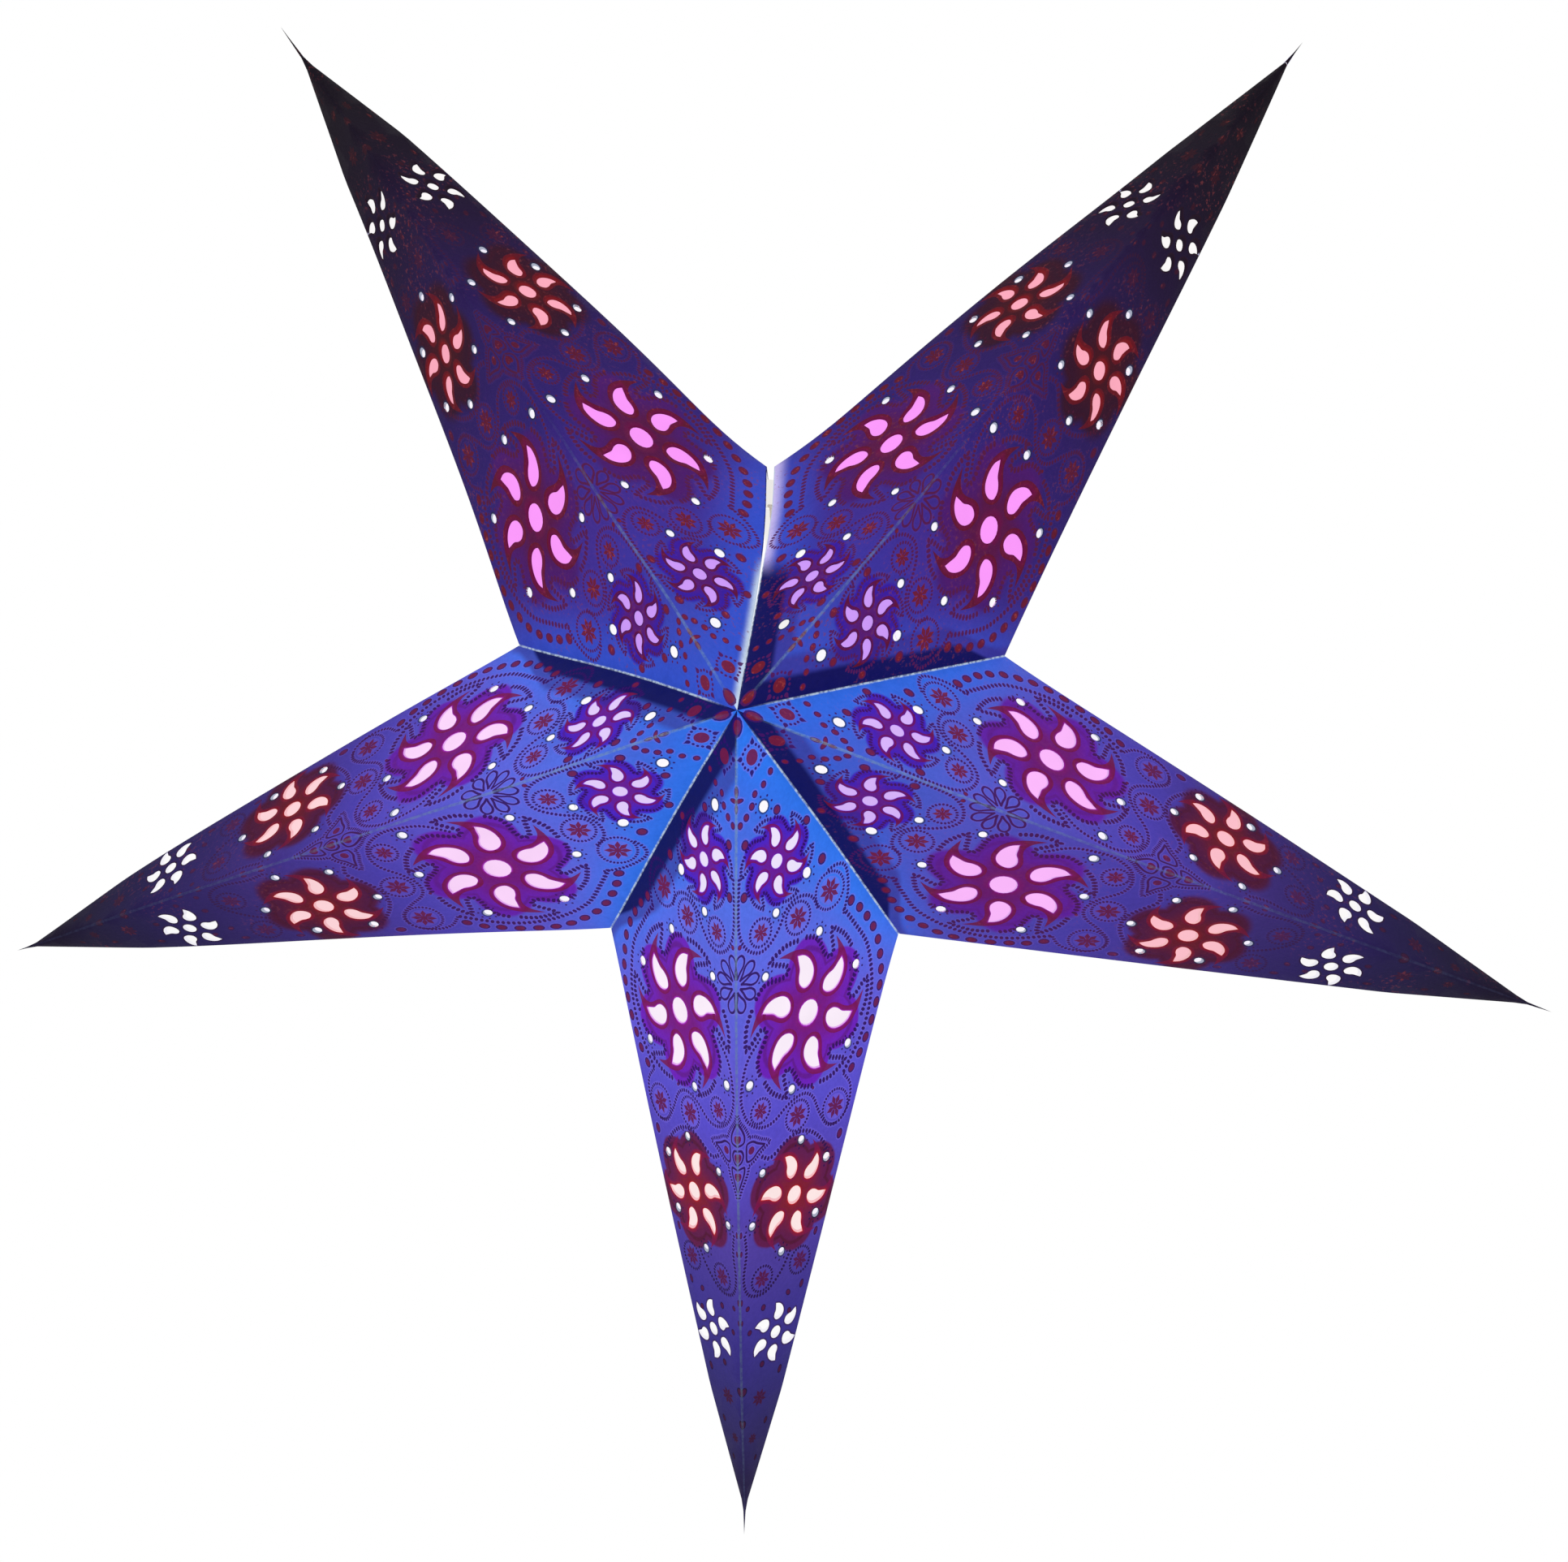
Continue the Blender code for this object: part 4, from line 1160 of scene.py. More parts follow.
def fine_wear_group():
    """Soft blotches and fine scuffs of a handled surface."""
    group, given = new_group("fine_wear", "Scale")
    place = scaled(outputs(group, "ShaderNodeTexCoord")["Object"], given["Scale"])
    streaks = clouded(stretched(place, (0.5, 0.2, 0.8), (1.0, 14.0, 3.0)), Scale=260.0,
                      Detail=2.0)
    return close_group(group, Blotches=clouded(place, Scale=90.0, Detail=3.0),
                       Scuffs=streaks.eased(0.58, 0.72))


GROUP_BUILDERS = {
    "sheet_lines": sheet_lines_group,
    "patch_shadow": patch_shadow_group,
    "handmade_paper": handmade_paper_group,
    "lit_through": lit_through_group,
    "fine_wear": fine_wear_group,
}


def shared(tree, name, inputs):
    """A shared effect placed in a material with its own values."""
    group = bpy.data.node_groups.get(name) or GROUP_BUILDERS[name]()
    return outputs(tree, "ShaderNodeGroup", inputs, node_tree=group)


def new_material(name):
    """A material, its node tree and its Principled shader."""
    material = bpy.data.materials.new(name)
    material.use_nodes = True
    return material, material.node_tree, material.node_tree.nodes["Principled BSDF"]


def add_bump(shader, height, strength, distance):
    inputs = {"Height": height, "Strength": strength, "Distance": distance}
    fill(shader, {"Normal": outputs(shader.id_data, "ShaderNodeBump", inputs)[0]})


def light_up(shader, colour, through):
    """Has the surface reflect a part of its lit colour and shine with the rest."""
    parts = shared(shader.id_data, "lit_through", {"Colour": colour, "Through": through})
    fill(shader, {"Base Color": parts["Base"], "Emission Color": parts["Glow"],
                  "Emission Strength": 1.0})


def light_paper(shader, colour, level, through, roughness=0.75, specular=0.1):
    """Paper lit from inside. Its level varies with the pulp."""
    light_up(shader, scaled(colour, level), through)
    fill(shader, {"Roughness": roughness, "Specular IOR Level": specular})


def dimmed(colour, share=1.0):
    """A setting's colour, or a darker one, as shaders take it."""
    return (*[share * part for part in colour], 1.0)


def sheet_values(tree):
    """A sheet's lines, the share of its ridge, the mark round its holes and its panel's state."""
    place, marks = attribute_parts(tree, "sheet")
    lines = shared(tree, "sheet_lines", {"Place": place})
    return lines, lines["Along"] / RIDGE_LENGTH, marks[2], attribute_parts(tree, "panel_state")[1]


def by_arm(share, dark, low, high, interpolation="LINEAR"):
    """Colours along the ridge, from those of the lower arms to the upper ones' painted shade."""
    return mixed(dark, *[ramp(share, stops, interpolation) for stops in (low, high)])


def by_flower(share, dark, low, high):
    """One even colour round each flower, from the centre out."""
    stops = [[(place, srgb(*shade)) for place, shade in zip(BANDS, shades)]
             for shades in (low, high)]
    return by_arm(share, dark, *stops, "CONSTANT")


def blue_field(lines, share, dark, settings):
    """The paper's blue in painted light: bright near the centre and by the valleys there, darker
    towards the tip, and in painted shade on the upper arms.
    """
    own = [(AZURE_PLACE, settings.azure), (VIOLET_PLACE, settings.violet_blue)]
    field = by_arm(share, dark, sorted(own + painted(LOWER_BLUES)), painted(UPPER_BLUES))
    near_valley = lines["Valley"].eased(0.028, 0.0, 0.0, 0.85)
    near_centre = lines["Along"].eased(0.140, 0.075)
    lit = mixed(dark, srgb(44, 124, 250), srgb(52, 86, 214))
    return mixed(near_valley * near_centre, field, lit)


def patch_shadows(lines, colour, dark, waver):
    """The tissue patches that show through: purple, purple, then deep maroon."""
    for index, (outer, inner) in enumerate(SHADOW_SHADES):
        along, across, ring = (value * MM for value in FLOWERS[index])
        radius, lobes = PATCHES[index]
        blur = dark * (0.0042 if index else 0.0006) + 0.0014
        scallops = []
        for shades, reach, soft, strength in (
            (outer, radius * ring, blur, 0.94), (inner, 0.98 * ring, 0.9 * ring, 0.92),
        ):
            patch = shared(dark.tree, "patch_shadow", {
                "Along": lines["Along"], "Across": lines["Across"], "Centre Along": along,
                "Centre Across": across, "Radius": reach, "Lobes": 2 * lobes, "Blur": soft,
                "Waver": waver,
            })
            shade = mixed(dark, *[srgb(*shade) for shade in shades])
            colour = mixed(patch["Mask"] * strength, colour, shade)
            scallops.append(patch["Line"])
        scallop = scallops[0] * (dark * -0.4 + 0.55)
        colour = mixed(scallop, colour, srgb(*SCALLOP_SHADES[index]))
    return colour


def flap_shadow(lines, colour, state, waver):
    """The glue flap of the next arm behind the paper, and the light that the open seam lets by."""
    along, valley = lines["Along"], lines["Valley"]
    lit_side, open_side = above_zero(state[2]), above_zero(state[2] * -1.0)
    ends = along.eased(0.0, 0.008, 0.003, 0.0) + along.eased(0.082, 0.101, 0.0, 0.012)
    beyond = lit_side * along.eased(0.050, 0.062)
    flap = state[0] * (1.0 - beyond)
    band = valley + waver * 0.006 + ends - lit_side * 0.0032
    colour = mixed(band.eased(0.0172, 0.0136, 0.0, 0.60) * flap, colour, srgb(60, 36, 126))
    colour = mixed(band.eased(0.0096, 0.0068, 0.0, 0.93) * flap, colour, srgb(9, 7, 84))
    near = valley.eased(0.0072, -0.0004) ** 1.5
    colour = mixed(near * beyond, colour, srgb(218, 204, 254))
    near = valley.eased(0.0044, 0.0) ** 2.2
    lower = open_side * along.eased(0.062, 0.046)
    return mixed(near * lower, colour, srgb(216, 234, 255))


def wax_margins(share, colour, dark, ink):
    """The paler line that the wax leaves round the ink."""
    pale = mixed(dark, srgb(132, 112, 238), srgb(104, 62, 160))
    fade = share.eased(0.70, 0.50, 0.0, 0.34) * (dark * -0.75 + 1.0)
    return mixed(above_zero(ink[0] * -1.0) * fade, colour, pale)


def printed_ink(share, colour, dark, ink, mark, grain, settings):
    """The print, with painted coppery glints on the upper arms, where less light shines through
    it, fading with the painted shade towards their tips.
    """
    glints = grain["Pulp"].eased(0.56, 0.66) * (dark * 0.55)
    strewn = glints * grain["Cloud"].eased(0.44, 0.62)
    colour = mixed(strewn, colour, srgb(120, 52, 56))
    flame = mixed(dark, dimmed(settings.flame), srgb(98, 14, 34))
    colour = mixed(ink[2] * 0.9, colour, mixed(glints, flame, srgb(150, 48, 44)))
    ring = above_zero(mark) ** 0.8
    colour = mixed(ring * 0.85, colour, by_flower(share, dark, LIT_RINGS, DARK_RINGS))
    clear = dark * share.eased(0.42, 0.66) * -0.55 + 0.94
    dash = by_arm(share, dark, *map(painted, DASH_INKS))
    colour = mixed(ink[1] * clear, colour, dash)
    own = [(MAROON_PLACE, settings.maroon)]
    maroon = by_arm(share, dark, own + painted(MAROON_INKS[0]), painted(MAROON_INKS[1]))
    maroon = mixed(glints, maroon, srgb(178, 74, 58))
    return mixed(above_zero(ink[0] * clear), colour, maroon)


def hole_rims(share, colour, dark, mark):
    """The glowing rim of each petal and the shaded one of each punched hole."""
    rims = by_flower(share, dark, LIT_RIMS, DARK_RIMS)
    colour = mixed(mark.eased(0.72, 0.98) * 0.9, colour, rims)
    return mixed((mark * -1.0).eased(0.0, 0.6) * 0.75, colour, srgb(34, 40, 74))


def crease_highlights(lines, share, colour, dark, state, grain):
    """Painted highlights along the ridge, fading on the shaded arms, and along the valley crease,
    both broken in places; past the open seam that crease is in painted shade.
    """
    patchy = grain["Pulp"].eased(0.40, 0.58)
    past_hub = lines["Along"].eased(0.003, 0.020)
    ridge = lines["Across"].eased(0.0010, 0.0004) * (patchy * 0.34 + 0.26)
    ridge = ridge * (1.0 - dark * share.eased(0.18, 0.42, 0.35, 0.97))
    # The ridge's painted highlight, darker towards the tip
    wear_and_highlight = mixed(share, srgb(132, 166, 190), srgb(60, 62, 100))
    colour = mixed(ridge * past_hub, colour, wear_and_highlight)
    fold = lines["Valley"].eased(0.0006, 0.0002) * (patchy * 0.6 + 0.3)
    past_seam = above_zero(state[2] * -1.0) * lines["Along"].eased(0.054, 0.062)
    crease = mixed(past_seam, srgb(196, 214, 232), srgb(22, 18, 66))
    return mixed(fold * past_hub, colour, crease)


def printed_paper_material(settings):
    """The printed face, built up from its lit blue through painted shadows and ink to its painted
    crease highlights.
    """
    material, tree, shader = new_material("printed_paper")
    lines, share, mark, state = sheet_values(tree)
    ink = attribute_parts(tree, "ink")[1]
    grain = shared(tree, "handmade_paper", {"Scale": 1.0})
    # Painted shade: deeper on the upper arms and some side panels, and towards the tips of all
    # arms but the bottom one
    side_arm = maths("MINIMUM", state[1] * 10.0, 1.0)
    dark = maths("MAXIMUM", state[1], side_arm * share.eased(0.12, 0.80, 0.0, 0.72))
    waver = (grain["Cloud"] - 0.5) * 0.20
    colour = blue_field(lines, share, dark, settings)
    colour = wax_margins(share, colour, dark, ink)
    colour = patch_shadows(lines, colour, dark, waver)
    colour = flap_shadow(lines, colour, state, waver)
    colour = printed_ink(share, colour, dark, ink, mark, grain, settings)
    colour = hole_rims(share, colour, dark, mark)
    colour = crease_highlights(lines, share, colour, dark, state, grain)
    level = (grain["Pulp"] * 0.36 + 0.82) * (grain["Cloud"] * 0.22 + 0.89)
    light_paper(shader, colour, level, 0.65, grain["Fibres"] * 0.12 + 0.66, 0.08)
    add_bump(shader, grain["Height"], 0.35, 0.0003)
    return material


def cut_edge_material():
    """The sheet's cut thickness, with painted light: the tissue's glow on it by each flower,
    painted shade in the punched holes, and a painted highlight on the outer edges, which is
    painted shade beside the open seam.
    """
    material, tree, shader = new_material("cut_edge")
    lines, share, mark, state = sheet_values(tree)
    colour = by_flower(share, state[1].eased(0.55, 0.95), EDGE_SHADES, DARK_RIMS)
    # Painted shade on the walls of the punched holes
    colour = mixed(mark.eased(0.0, -0.5), colour, srgb(172, 178, 198))
    outer = maths("MINIMUM", lines["Valley"], lines["Edge"])
    # A painted highlight on the outer edges, painted shade beside the open seam
    closed = state[2].eased(-0.5, -1.0, 1.0, 0.0)
    rim = mixed(closed, srgb(30, 26, 80), srgb(196, 190, 232))
    colour = mixed(outer.eased(0.0009, 0.0004), colour, rim)
    grain = shared(tree, "handmade_paper", {"Scale": 1.0})
    light_paper(shader, colour, grain["Pulp"] * 0.2 + 0.9, 0.65)
    return material


def plain_paper_material(name, near, far, through):
    """Unprinted paper, painted brighter near the lamp than far from it: a sheet's inner face or a
    seam flap.
    """
    material, tree, shader = new_material(name)
    place = outputs(tree, "ShaderNodeTexCoord")["Object"]
    centre = (0, 0, -bpy.context.scene.lantern_paper.hang_height)
    reach = outputs(tree, "ShaderNodeVectorMath", {0: place, 1: centre},
                    operation="DISTANCE")["Value"]
    grain = shared(tree, "handmade_paper", {"Scale": 1.0})
    colour = mixed(reach.eased(0.05, 0.30), srgb(*near), srgb(*far))
    light_paper(shader, colour, grain["Pulp"] * 0.16 + 0.92, through)
    add_bump(shader, grain["Height"], 0.3, 0.0002)
    return material


def tissue_material():
    material, tree, shader = new_material("tissue")
    _, share, _, state = sheet_values(tree)
    grain = shared(tree, "handmade_paper", {"Scale": 1.6})
    # Deeper colours on the shaded arms: painted shade
    colour = by_flower(share, state[1], TISSUE_SHADES, DEEP_TISSUE_SHADES)
    light_paper(shader, colour, grain["Cloud"] * 0.14 + 0.93, 0.85, 0.8)
    add_bump(shader, grain["Height"], 0.25, 0.0002)
    return material


def hard_material(name, colour, wear_and_highlight, blotched, roughness, scuffed, glow=0.0, size=1.0):
    """Plastic, metal or glass: blotches of another colour from wear, scuffs that dull it, and
    where a glow is given, a painted glow.
    """
    material, tree, shader = new_material(name)
    wear = shared(tree, "fine_wear", {"Scale": size})
    tone = mixed(wear["Blotches"] * blotched, dimmed(colour), wear_and_highlight)
    if glow:
        light_up(shader, tone, glow)
    else:
        fill(shader, {"Base Color": tone})
    fill(shader, {"Roughness": wear["Scuffs"] * scuffed + roughness})
    return material, shader, wear


def moulded_material(name, colour, roughness, glow):
    material, shader, wear = hard_material(
        name, colour, dimmed(colour, 0.8), 0.22, roughness, 0.2, glow
    )
    add_bump(shader, wear["Blotches"], 0.08, 0.0002)
    return material


def brass_material(brass):
    wear_and_highlight = (brass[0] * 0.6, brass[1] * 0.55, brass[2] * 0.5, 1)
    material, shader, _ = hard_material("brass", brass, wear_and_highlight, 0.5, 0.24, 0.25, size=1.4)
    fill(shader, {"Metallic": 1.0})
    return material


def opal_material(glass):
    wear_and_highlight = srgb(244, 232, 206)
    return hard_material("opal_glass", glass, wear_and_highlight, 0.1, 0.1, 0.05, 0.8, 0.8)[0]


def cotton_material(cotton):
    material, tree, shader = new_material("cotton_string")
    fuzz = shared(tree, "handmade_paper", {"Scale": 6.0})
    tone = mixed(fuzz["Pulp"], dimmed(cotton), dimmed(cotton, 0.7))
    fill(shader, {"Base Color": tone, "Roughness": 0.9, "Sheen Weight": 0.3})
    add_bump(shader, fuzz["Height"], 0.4, 0.0001)
    return material


# Seam and strings ---------------------------------------------------------------------------


def seam_line(settings):
    """The seam's edge in its own plane, x out from the star's axis and y into the star."""
    start = Vector((0, -settings.half_depth))
    end = Vector((settings.valley_radius, 0))
    way = (end - start).normalized()
    return start, way, way.orthogonal(), (end - start).length


def seam_place(settings, share, inset):
    """A place a share of the way along the seam and an inset away from its edge."""
    start, way, inner, length = seam_line(settings)
    return start + share * length * way + inset * inner


def seam_matrix(settings, side, face, inset):
    """The seam plane's frame at one side: x out from the axis, y depth, z across the seam.

    With it comes 1 where z points away from the seam, or else -1.
    """
    lean = -side * arm_pitch(settings)[1] / 2
    out = Vector((-math.sin(lean), 0, math.cos(lean)))
    across = out.cross(Vector((0, 1 if face == "front" else -1, 0)))
    away = 1 if across.x * side > 0 else -1
    centre = Vector((0, 0, -settings.hang_height))
    return placed_axes(centre + inset * away * across, out, across.cross(out), across), away


def placed_axes(place, *axes):
    """The matrix of a frame at a place, with these axes."""
    return Matrix.Translation(place) @ Matrix(axes).transposed().to_4x4()


def seam_flap_mesh(name, settings, side, face):
    """One folded flap: a thin strip with rounded ends and two string holes."""
    low, high = FLAP_SPAN
    inner = FLAP_EDGE_GAP + FLAP_WIDTH
    places = [(low, FLAP_EDGE_GAP), (high, FLAP_EDGE_GAP)]
    places += [(high - share, inner - short) for share, short in FLAP_CORNERS]
    places += [(low + share, inner - short) for share, short in reversed(FLAP_CORNERS)]
    drawing = Drawing([seam_place(settings, *place) / MM for place in places])
    for share in (HANGING_HOLE_SHARE, TIE_HOLE_SHARE):
        place = seam_place(settings, share, STRING_HOLE_INSET) / MM
        drawing.cut(disc(place, STRING_HOLE_RADIUS / MM, 16), 0)
    points, triangles, _, _ = drawing.mesh([])
    flat = points * MM
    matrix, away = seam_matrix(settings, side, face, 0.0)

    def raised(height):
        return np.array([matrix @ Vector((x, y, away * height)) for x, y in flat])

    return solid_from_flat(name, raised(0.0), raised(FLAP_THICKNESS), triangles, away > 0)


def tie_route(settings, side, face):
    """Half a ring of string through a flap's hole and round the flap's inner edge."""
    place = seam_place(settings, TIE_HOLE_SHARE, STRING_HOLE_INSET + TIE_RING_RADIUS)
    inner = seam_line(settings)[2]
    matrix, away = seam_matrix(settings, side, face, STRING_RADIUS + STRING_GAP / 2)
    route = []
    for step in range(TIE_STRETCHES + 1):
        angle = math.pi * step / TIE_STRETCHES
        flat = place - TIE_RING_RADIUS * math.cos(angle) * inner
        height = away * TIE_RING_RADIUS * math.sin(angle)
        route.append(matrix @ Vector((flat.x, flat.y, height)))
    return route


def round_lamp(settings, side, reach, angle, height):
    """A place beside the lamp's axis, at a height above the star's centre."""
    height -= settings.hang_height
    return Vector((side * reach * math.cos(angle), -reach * math.sin(angle), height))


def hanging_route(settings, side):
    """From the front flap's hole over the cap's shoulder, round the grip, and to the back."""
    hole = seam_place(settings, HANGING_HOLE_SHARE, STRING_HOLE_INSET)
    matrix, _ = seam_matrix(settings, side, "front", STRING_RADIUS + STRING_GAP / 2)
    start = matrix @ hole.to_3d()
    first = [start, start + STRING_SLACK * side * Vector((1, 0, 0))]
    clearance = STRING_RADIUS + STRING_GAP
    cap_top = settings.hang_height - GRIP_HEAD_LENGTH
    cap_rise = HOLDER_RADIUS - CAP_SHOULDER_RADIUS
    for angle in SHOULDER_ANGLES:
        away = Vector((math.sin(angle) / cap_rise, math.cos(angle) / CAP_DOME_HEIGHT)).normalized()
        reach = CAP_SHOULDER_RADIUS + cap_rise * math.sin(angle) + clearance * away.x
        height = cap_top - CAP_DOME_HEIGHT * (1 - math.cos(angle)) + clearance * away.y
        first.append(round_lamp(settings, side, reach, COLLAR_SWEEP, height))
    last = [Vector((place.x, -place.y, place.z)) for place in reversed(first)]
    collar = []
    for step in range(COLLAR_STRETCHES + 1):
        angle = COLLAR_SWEEP * (1 - 2 * step / COLLAR_STRETCHES)
        collar.append(
            round_lamp(settings, side, GRIP_RADIUS + clearance, angle, cap_top + clearance)
        )
    return [*first, *collar, *last]


def twisted_string(name, route):
    """A laid string: a lobed section that turns along a smooth route, with closed ends."""
    fine, corners = smooth_route(route, 14), STRING_CORNERS
    heading = (fine[1] - fine[0]).normalized()
    side = heading.orthogonal().normalized()
    points, travelled = [], 0.0
    for index, place in enumerate(fine):
        ahead = fine[min(index + 1, len(fine) - 1)] - fine[max(index - 1, 0)]
        heading = ahead.normalized()
        side = (side - side.dot(heading) * heading).normalized()
        other = heading.cross(side)
        if index:
            travelled += (place - fine[index - 1]).length
        twist = 2 * math.pi * STRING_TURNS_PER_METRE * travelled
        for angle in angles_round(corners):
            groove = STRING_GROOVE * (1 - math.cos(STRING_PLIES * (angle - twist)))
            way = math.cos(angle) * side + math.sin(angle) * other
            points.append(place + STRING_RADIUS * (1 - groove) * way)
    faces = [tuple(range(corners))[::-1]]
    last = (len(fine) - 1) * corners
    for start in range(0, last, corners):
        for corner in range(corners):
            first, after = start + corner, start + (corner + 1) % corners
            faces.append((first, after, after + corners, first + corners))
    faces.append(tuple(range(last, last + corners)))
    mesh = bpy.data.meshes.new(name)
    mesh.from_pydata(points, [], faces)
    mesh.shade_smooth()
    return mesh


# Operators ----------------------------------------------------------------------------------


class LANTERN_OT_fold_sheets(bpy.types.Operator):
    """Print, cut and fold the twenty paper panels"""

    bl_idname = "lantern.fold_sheets"
    bl_label = "Fold sheets"

    def execute(self, context):
        settings = context.scene.lantern_paper
        corners = panel_corners(settings)
        drawing = Drawing(corners)
        draw_print(drawing)
        points, triangles, layers, rim = drawing.mesh(grid_points(corners, SHEET_STEP))
        flat = points * MM
        flats = (flat, inner_flat(flat, settings))
        materials = [
            printed_paper_material(settings),
            plain_paper_material("paper_inside", (252, 250, 255), (244, 240, 255), 0.8),
            cut_edge_material(),
        ]
        ink = np.column_stack([layers == layer for layer in (MAROON, DASH, FLAME)]).astype(float)
        ink[layers == MARGIN, 0] = -1.0
        for arm, face, side in product(ARM_STEPS, FACES, SIDES):
            panel = PanelFrame(arm, face, side, settings)
            name = f"{arm}_sheet_{face}_{side}"
            mesh = panel_mesh(name, panel, flats, (0.0, settings.thickness), triangles, rim,
                              panel_state(arm, side))
            spread = np.zeros((len(mesh.polygons), 3))
            spread[:len(ink)] = ink
            set_values(mesh, "ink", "FACE", spread)
            piece = add_piece(name, mesh, materials)
            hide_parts(f"{arm}_panel_{face}_{side}")
            squash_with_arm(piece, arm)
        return {"FINISHED"}


class LANTERN_OT_back_with_tissue(bpy.types.Operator):
    """Glue the coloured tissue patches behind the cut-out flowers"""

    bl_idname = "lantern.back_with_tissue"
    bl_label = "Back with tissue"

    def execute(self, context):
        settings = context.scene.lantern_paper
        tissue = context.scene.lantern_tissue
        edge = inset_corners(panel_corners(settings), [TISSUE_INSET] * 3)
        drawing = Drawing(edge)
        for flower, patch in zip(FLOWERS, PATCHES):
            drawing.add(patch_outline(flower, patch), FLAME)
        for *place, radius in PUNCHED:
            drawing.cut(punched_hole(place, radius, TISSUE_PUNCH), 0)
        points, triangles, layers, rim = drawing.mesh(grid_points(edge, TISSUE_STEP))
        kept = layers == FLAME
        points, triangles, _, _ = tidy_flat(points, triangles[kept], layers[kept], rim)
        flats, unmarked = [points * MM] * 2, np.zeros(len(points))
        material = tissue_material()
        lining = plain_paper_material("tissue_inside", (255, 252, 255), (250, 246, 255), 0.85)
        start = settings.thickness + tissue.gap
        depths = (start, start + tissue.thickness)
        for arm, face, side in product(ARM_STEPS, FACES, SIDES):
            panel = PanelFrame(arm, face, side, settings)
            name = f"{arm}_tissue_patches_{face}_{side}"
            flap, dark, seam = panel_state(arm, side)
            state = (flap, TISSUE_SHADING.get(arm, dark), seam)
            mesh = panel_mesh(name, panel, flats, depths, triangles, unmarked, state)
            piece = add_piece(name, mesh, [material, lining, material])
            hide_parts(f"{arm}_tissue_{face}_{side}")
            squash_with_arm(piece, arm)
        return {"FINISHED"}


class LANTERN_OT_close_seam(bpy.types.Operator):
    """Fold the seam flaps and thread the ties and the hanging strings"""

    bl_idname = "lantern.close_seam"
    bl_label = "Close seam"

    def execute(self, context):
        settings = context.scene.lantern_paper
        # The seam flaps shine near white with painted light from the lamp
        flap = plain_paper_material("seam_paper", (255, 253, 255), (250, 246, 255), 0.97)
        cotton = cotton_material(context.scene.lantern_lamp.cotton)
        for side, word in ((-1, "left"), (1, "right")):
            arm = f"upper_{word}"
            for face in FACES:
                mesh = seam_flap_mesh(f"folded_flap_{face}_{word}", settings, side, face)
                piece = add_piece(mesh.name, stray_mesh(mesh, settings), [flap] * 3)
                self.fit(piece, f"seam_flap_{face}_{word}", "seam_paper", arm)
                route = tie_route(settings, side, face)
                mesh = twisted_string(f"tie_string_{face}_{word}", route)
                piece = add_piece(mesh.name, stray_mesh(mesh, settings), [cotton])
                self.fit(piece, f"seam_tie_{face}_{word}", "cotton_string", arm)
            mesh = twisted_string(f"hanger_string_{word}", hanging_route(settings, side))
            piece = add_piece(mesh.name, stray_mesh(mesh, settings, clear=True), [cotton])
            self.fit(piece, f"hanging_string_{word}", "cotton_string", arm)
        return {"FINISHED"}

    def fit(self, piece, node, slot, arm):
        """Puts a piece on its arm, in the place of a solid."""
        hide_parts(node)
        squash_with_arm(piece, arm)


class LANTERN_OT_finish_lamp(bpy.types.Operator):
    """Give the lamp holder and the bulb their plastics, brass and opal glass"""

    bl_idname = "lantern.finish_lamp"
    bl_label = "Finish lamp"

    def execute(self, context):
        settings = context.scene.lantern_lamp
        # The holder and the cord grip glow with painted light, as if lit by the bulb
        plastic = moulded_material("white_plastic", settings.plastic, 0.34, 0.8)
        grip = moulded_material("grip_plastic", settings.grip, 0.42, 0.8)
        brass = brass_material(settings.brass)
        opal = opal_material(settings.glass)
        finishes = {
            "cord_grip": grip, "holder_cap": plastic, "holder_body": plastic,
            "socket_sleeve": brass, "socket_contact": brass, "bulb_end_contact": brass,
            "bulb_screw_cap": brass, "bulb_globe": opal,
        }
        for name, material in finishes.items():
            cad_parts[name].material_slots[0].material = material
        return {"FINISHED"}


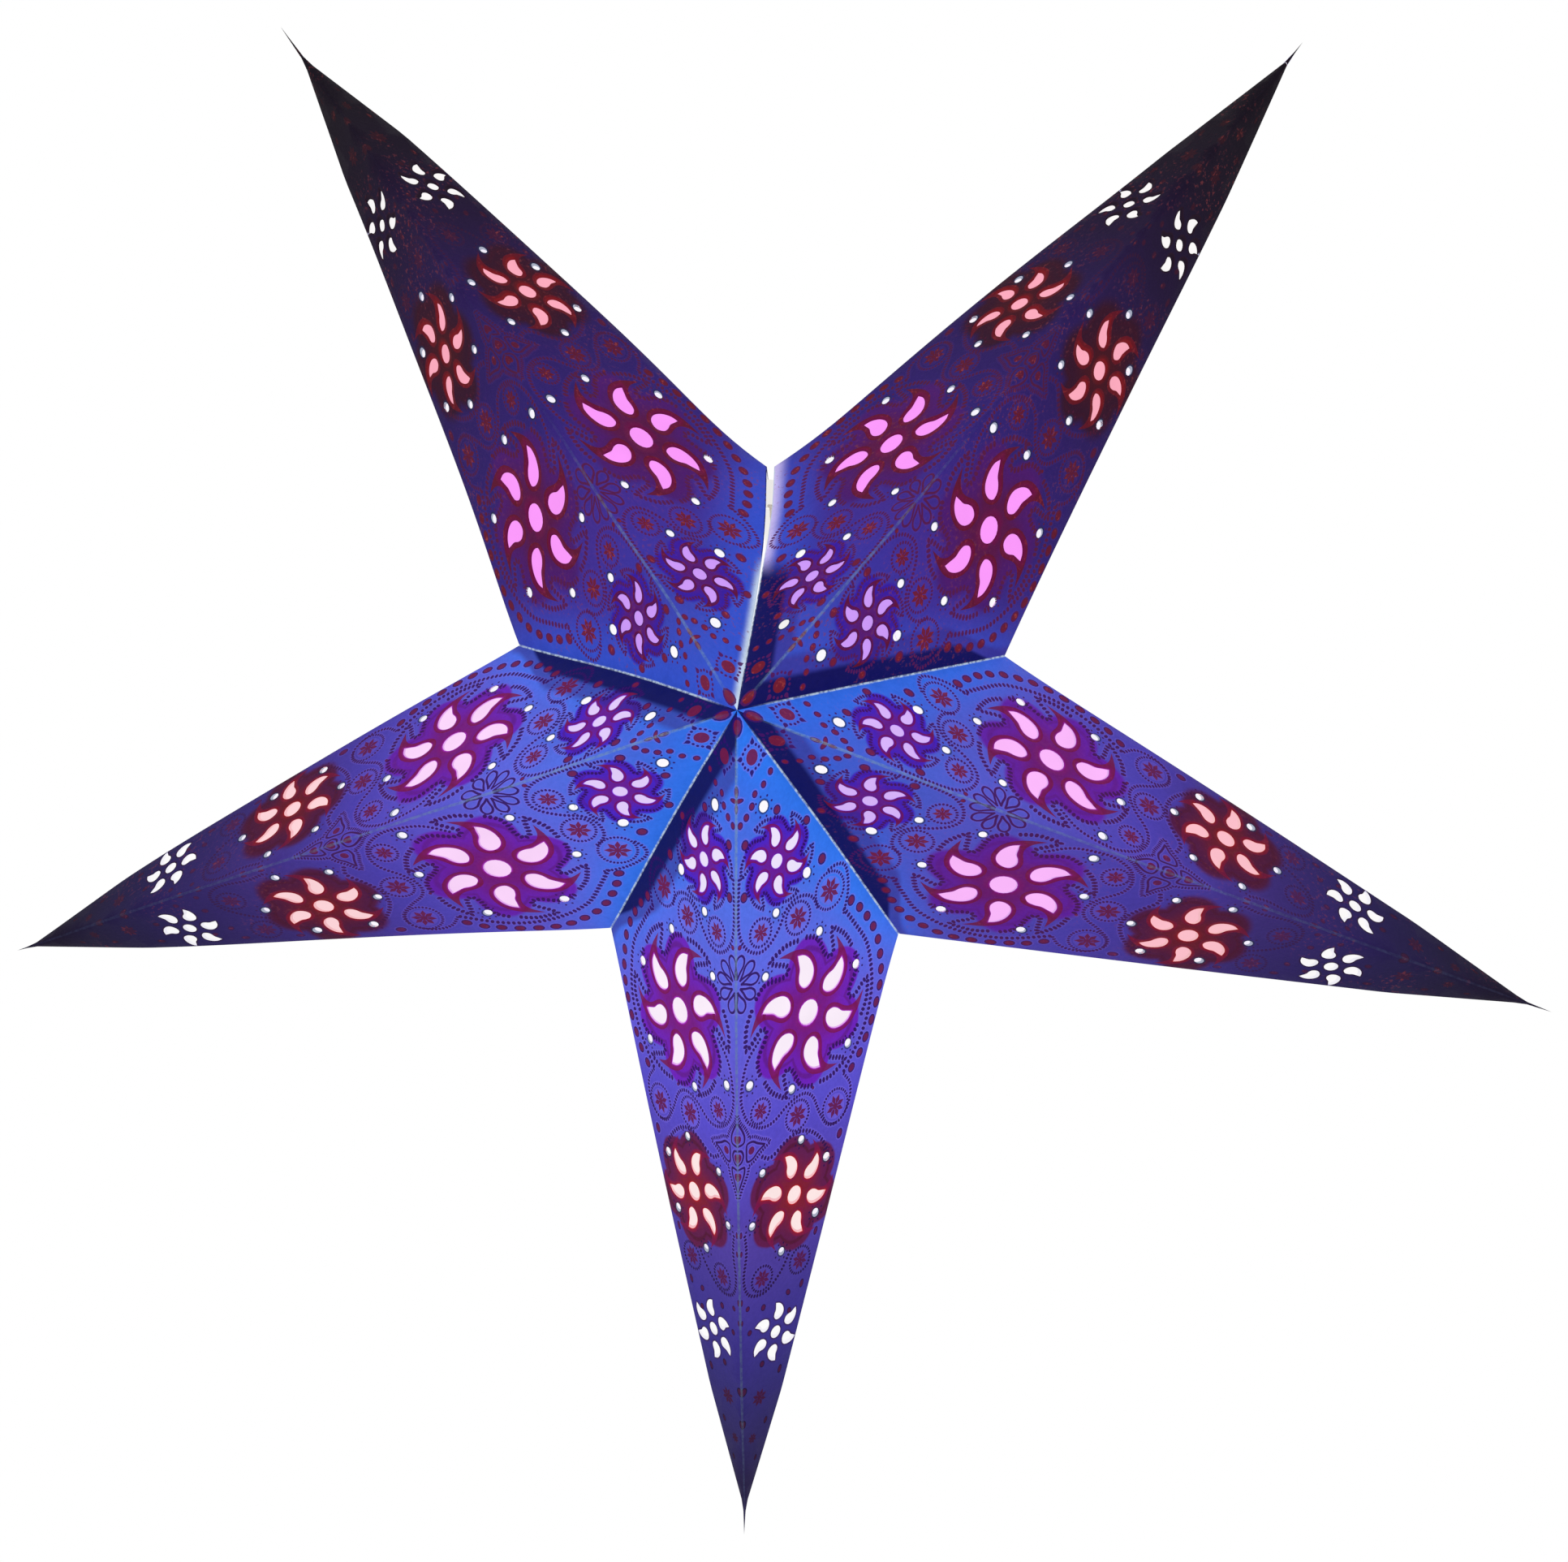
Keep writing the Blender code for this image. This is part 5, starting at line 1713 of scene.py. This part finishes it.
class LANTERN_OT_set_stage(bpy.types.Operator):
    """Lay the pale floor, hang the soft lights and set the camera"""

    bl_idname = "lantern.set_stage"
    bl_label = "Set stage"

    def execute(self, context):
        stage = context.scene.lantern_stage
        centre = Vector((0, 0, -context.scene.lantern_paper.hang_height))
        self.lay_floor(stage, centre)
        self.hang_lights(context, stage, centre)
        self.place_camera(context, stage, centre)
        context.scene.view_settings.view_transform = "Standard"
        return {"FINISHED"}

    def lay_floor(self, stage, centre):
        half, height = stage.floor_size / 2, centre.z - stage.floor_drop
        mesh = bpy.data.meshes.new("floor")
        corners = [(x * half, y * half, height) for x, y in ((-1, -1), (1, -1), (1, 1), (-1, 1))]
        mesh.from_pydata(corners, [], [(0, 1, 2, 3)])
        material, tree, shader = new_material("pale_floor")
        wear = shared(tree, "fine_wear", {"Scale": 0.05})
        tone = mixed(wear["Blotches"] * 0.1, dimmed(stage.floor), dimmed(stage.floor, 0.94))
        seen = outputs(tree, "ShaderNodeLightPath")["Is Camera Ray"]
        fill(shader, {"Base Color": tone, "Roughness": 0.8, "Emission Color": (1, 1, 1, 1),
                      "Emission Strength": seen * stage.floor_lift})
        add_piece("floor", mesh, [material])

    def hang_lights(self, context, stage, centre):
        world = bpy.data.worlds.new("studio")
        context.scene.world = world
        world.use_nodes = True
        tree = world.node_tree
        tree.nodes.clear()
        path = outputs(tree, "ShaderNodeLightPath")
        seen = maths("MAXIMUM", path["Is Camera Ray"], path["Is Transmission Ray"])
        level = maths("MAXIMUM", seen, stage.world_level)
        back = outputs(tree, "ShaderNodeBackground", {"Color": (1, 1, 1, 1), "Strength": level})
        add_node(tree, "ShaderNodeOutputWorld", {"Surface": back[0]})
        for name, place, size, share in LIGHTS:
            light = bpy.data.lights.new(name, "AREA")
            light.energy = stage.key_power * share
            light.size = size
            lamp = bpy.data.objects.new(name, light)
            context.scene.collection.objects.link(lamp)
            lamp.location = centre + Vector(place)
            lamp.rotation_mode = "QUATERNION"
            lamp.rotation_quaternion = (-Vector(place)).to_track_quat("-Z", "Y")

    def place_camera(self, context, stage, centre):
        yaw, pitch, roll = stage.yaw, stage.pitch, stage.roll
        level = math.cos(pitch)
        back = Vector((math.sin(yaw) * level, -math.cos(yaw) * level, math.sin(pitch)))
        right = (-back).cross(Vector((0, 0, 1))).normalized()
        up = right.cross(-back)
        across = math.cos(roll) * right + math.sin(roll) * up
        above = -math.sin(roll) * right + math.cos(roll) * up
        data = bpy.data.cameras.new("camera")
        data.lens = stage.lens
        data.sensor_width = SENSOR_WIDTH
        camera = bpy.data.objects.new("camera", data)
        context.scene.collection.objects.link(camera)
        place = centre + Vector(stage.target) + stage.distance * back
        camera.matrix_world = placed_axes(place, across, above, back)
        context.scene.camera = camera


OPERATORS = (
    LANTERN_OT_fold_sheets,
    LANTERN_OT_back_with_tissue,
    LANTERN_OT_close_seam,
    LANTERN_OT_finish_lamp,
    LANTERN_OT_set_stage,
)


class LANTERN_PT_sidebar(bpy.types.Panel):
    bl_label = "Paper star lantern"
    bl_idname = "LANTERN_PT_sidebar"
    bl_space_type = "VIEW_3D"
    bl_region_type = "UI"
    bl_category = "Lantern"

    def draw(self, context):
        for operator in OPERATORS:
            self.layout.operator(operator.bl_idname)


SETTINGS = {
    "lantern_paper": LanternPaperSettings,
    "lantern_tissue": LanternTissueSettings,
    "lantern_lamp": LanternLampSettings,
    "lantern_stage": LanternStageSettings,
}
CLASSES = (*SETTINGS.values(), *OPERATORS, LANTERN_PT_sidebar)


def register():
    for item in CLASSES:
        bpy.utils.register_class(item)
    for name, item in SETTINGS.items():
        setattr(bpy.types.Scene, name, PointerProperty(type=item))


def unregister():
    for name in SETTINGS:
        delattr(bpy.types.Scene, name)
    for item in reversed(CLASSES):
        bpy.utils.unregister_class(item)


def main():
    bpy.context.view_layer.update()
    register()
    bpy.ops.lantern.fold_sheets()
    bpy.ops.lantern.back_with_tissue()
    bpy.ops.lantern.close_seam()
    bpy.ops.lantern.finish_lamp()
    bpy.ops.lantern.set_stage()


if __name__ == "__main__":
    main()
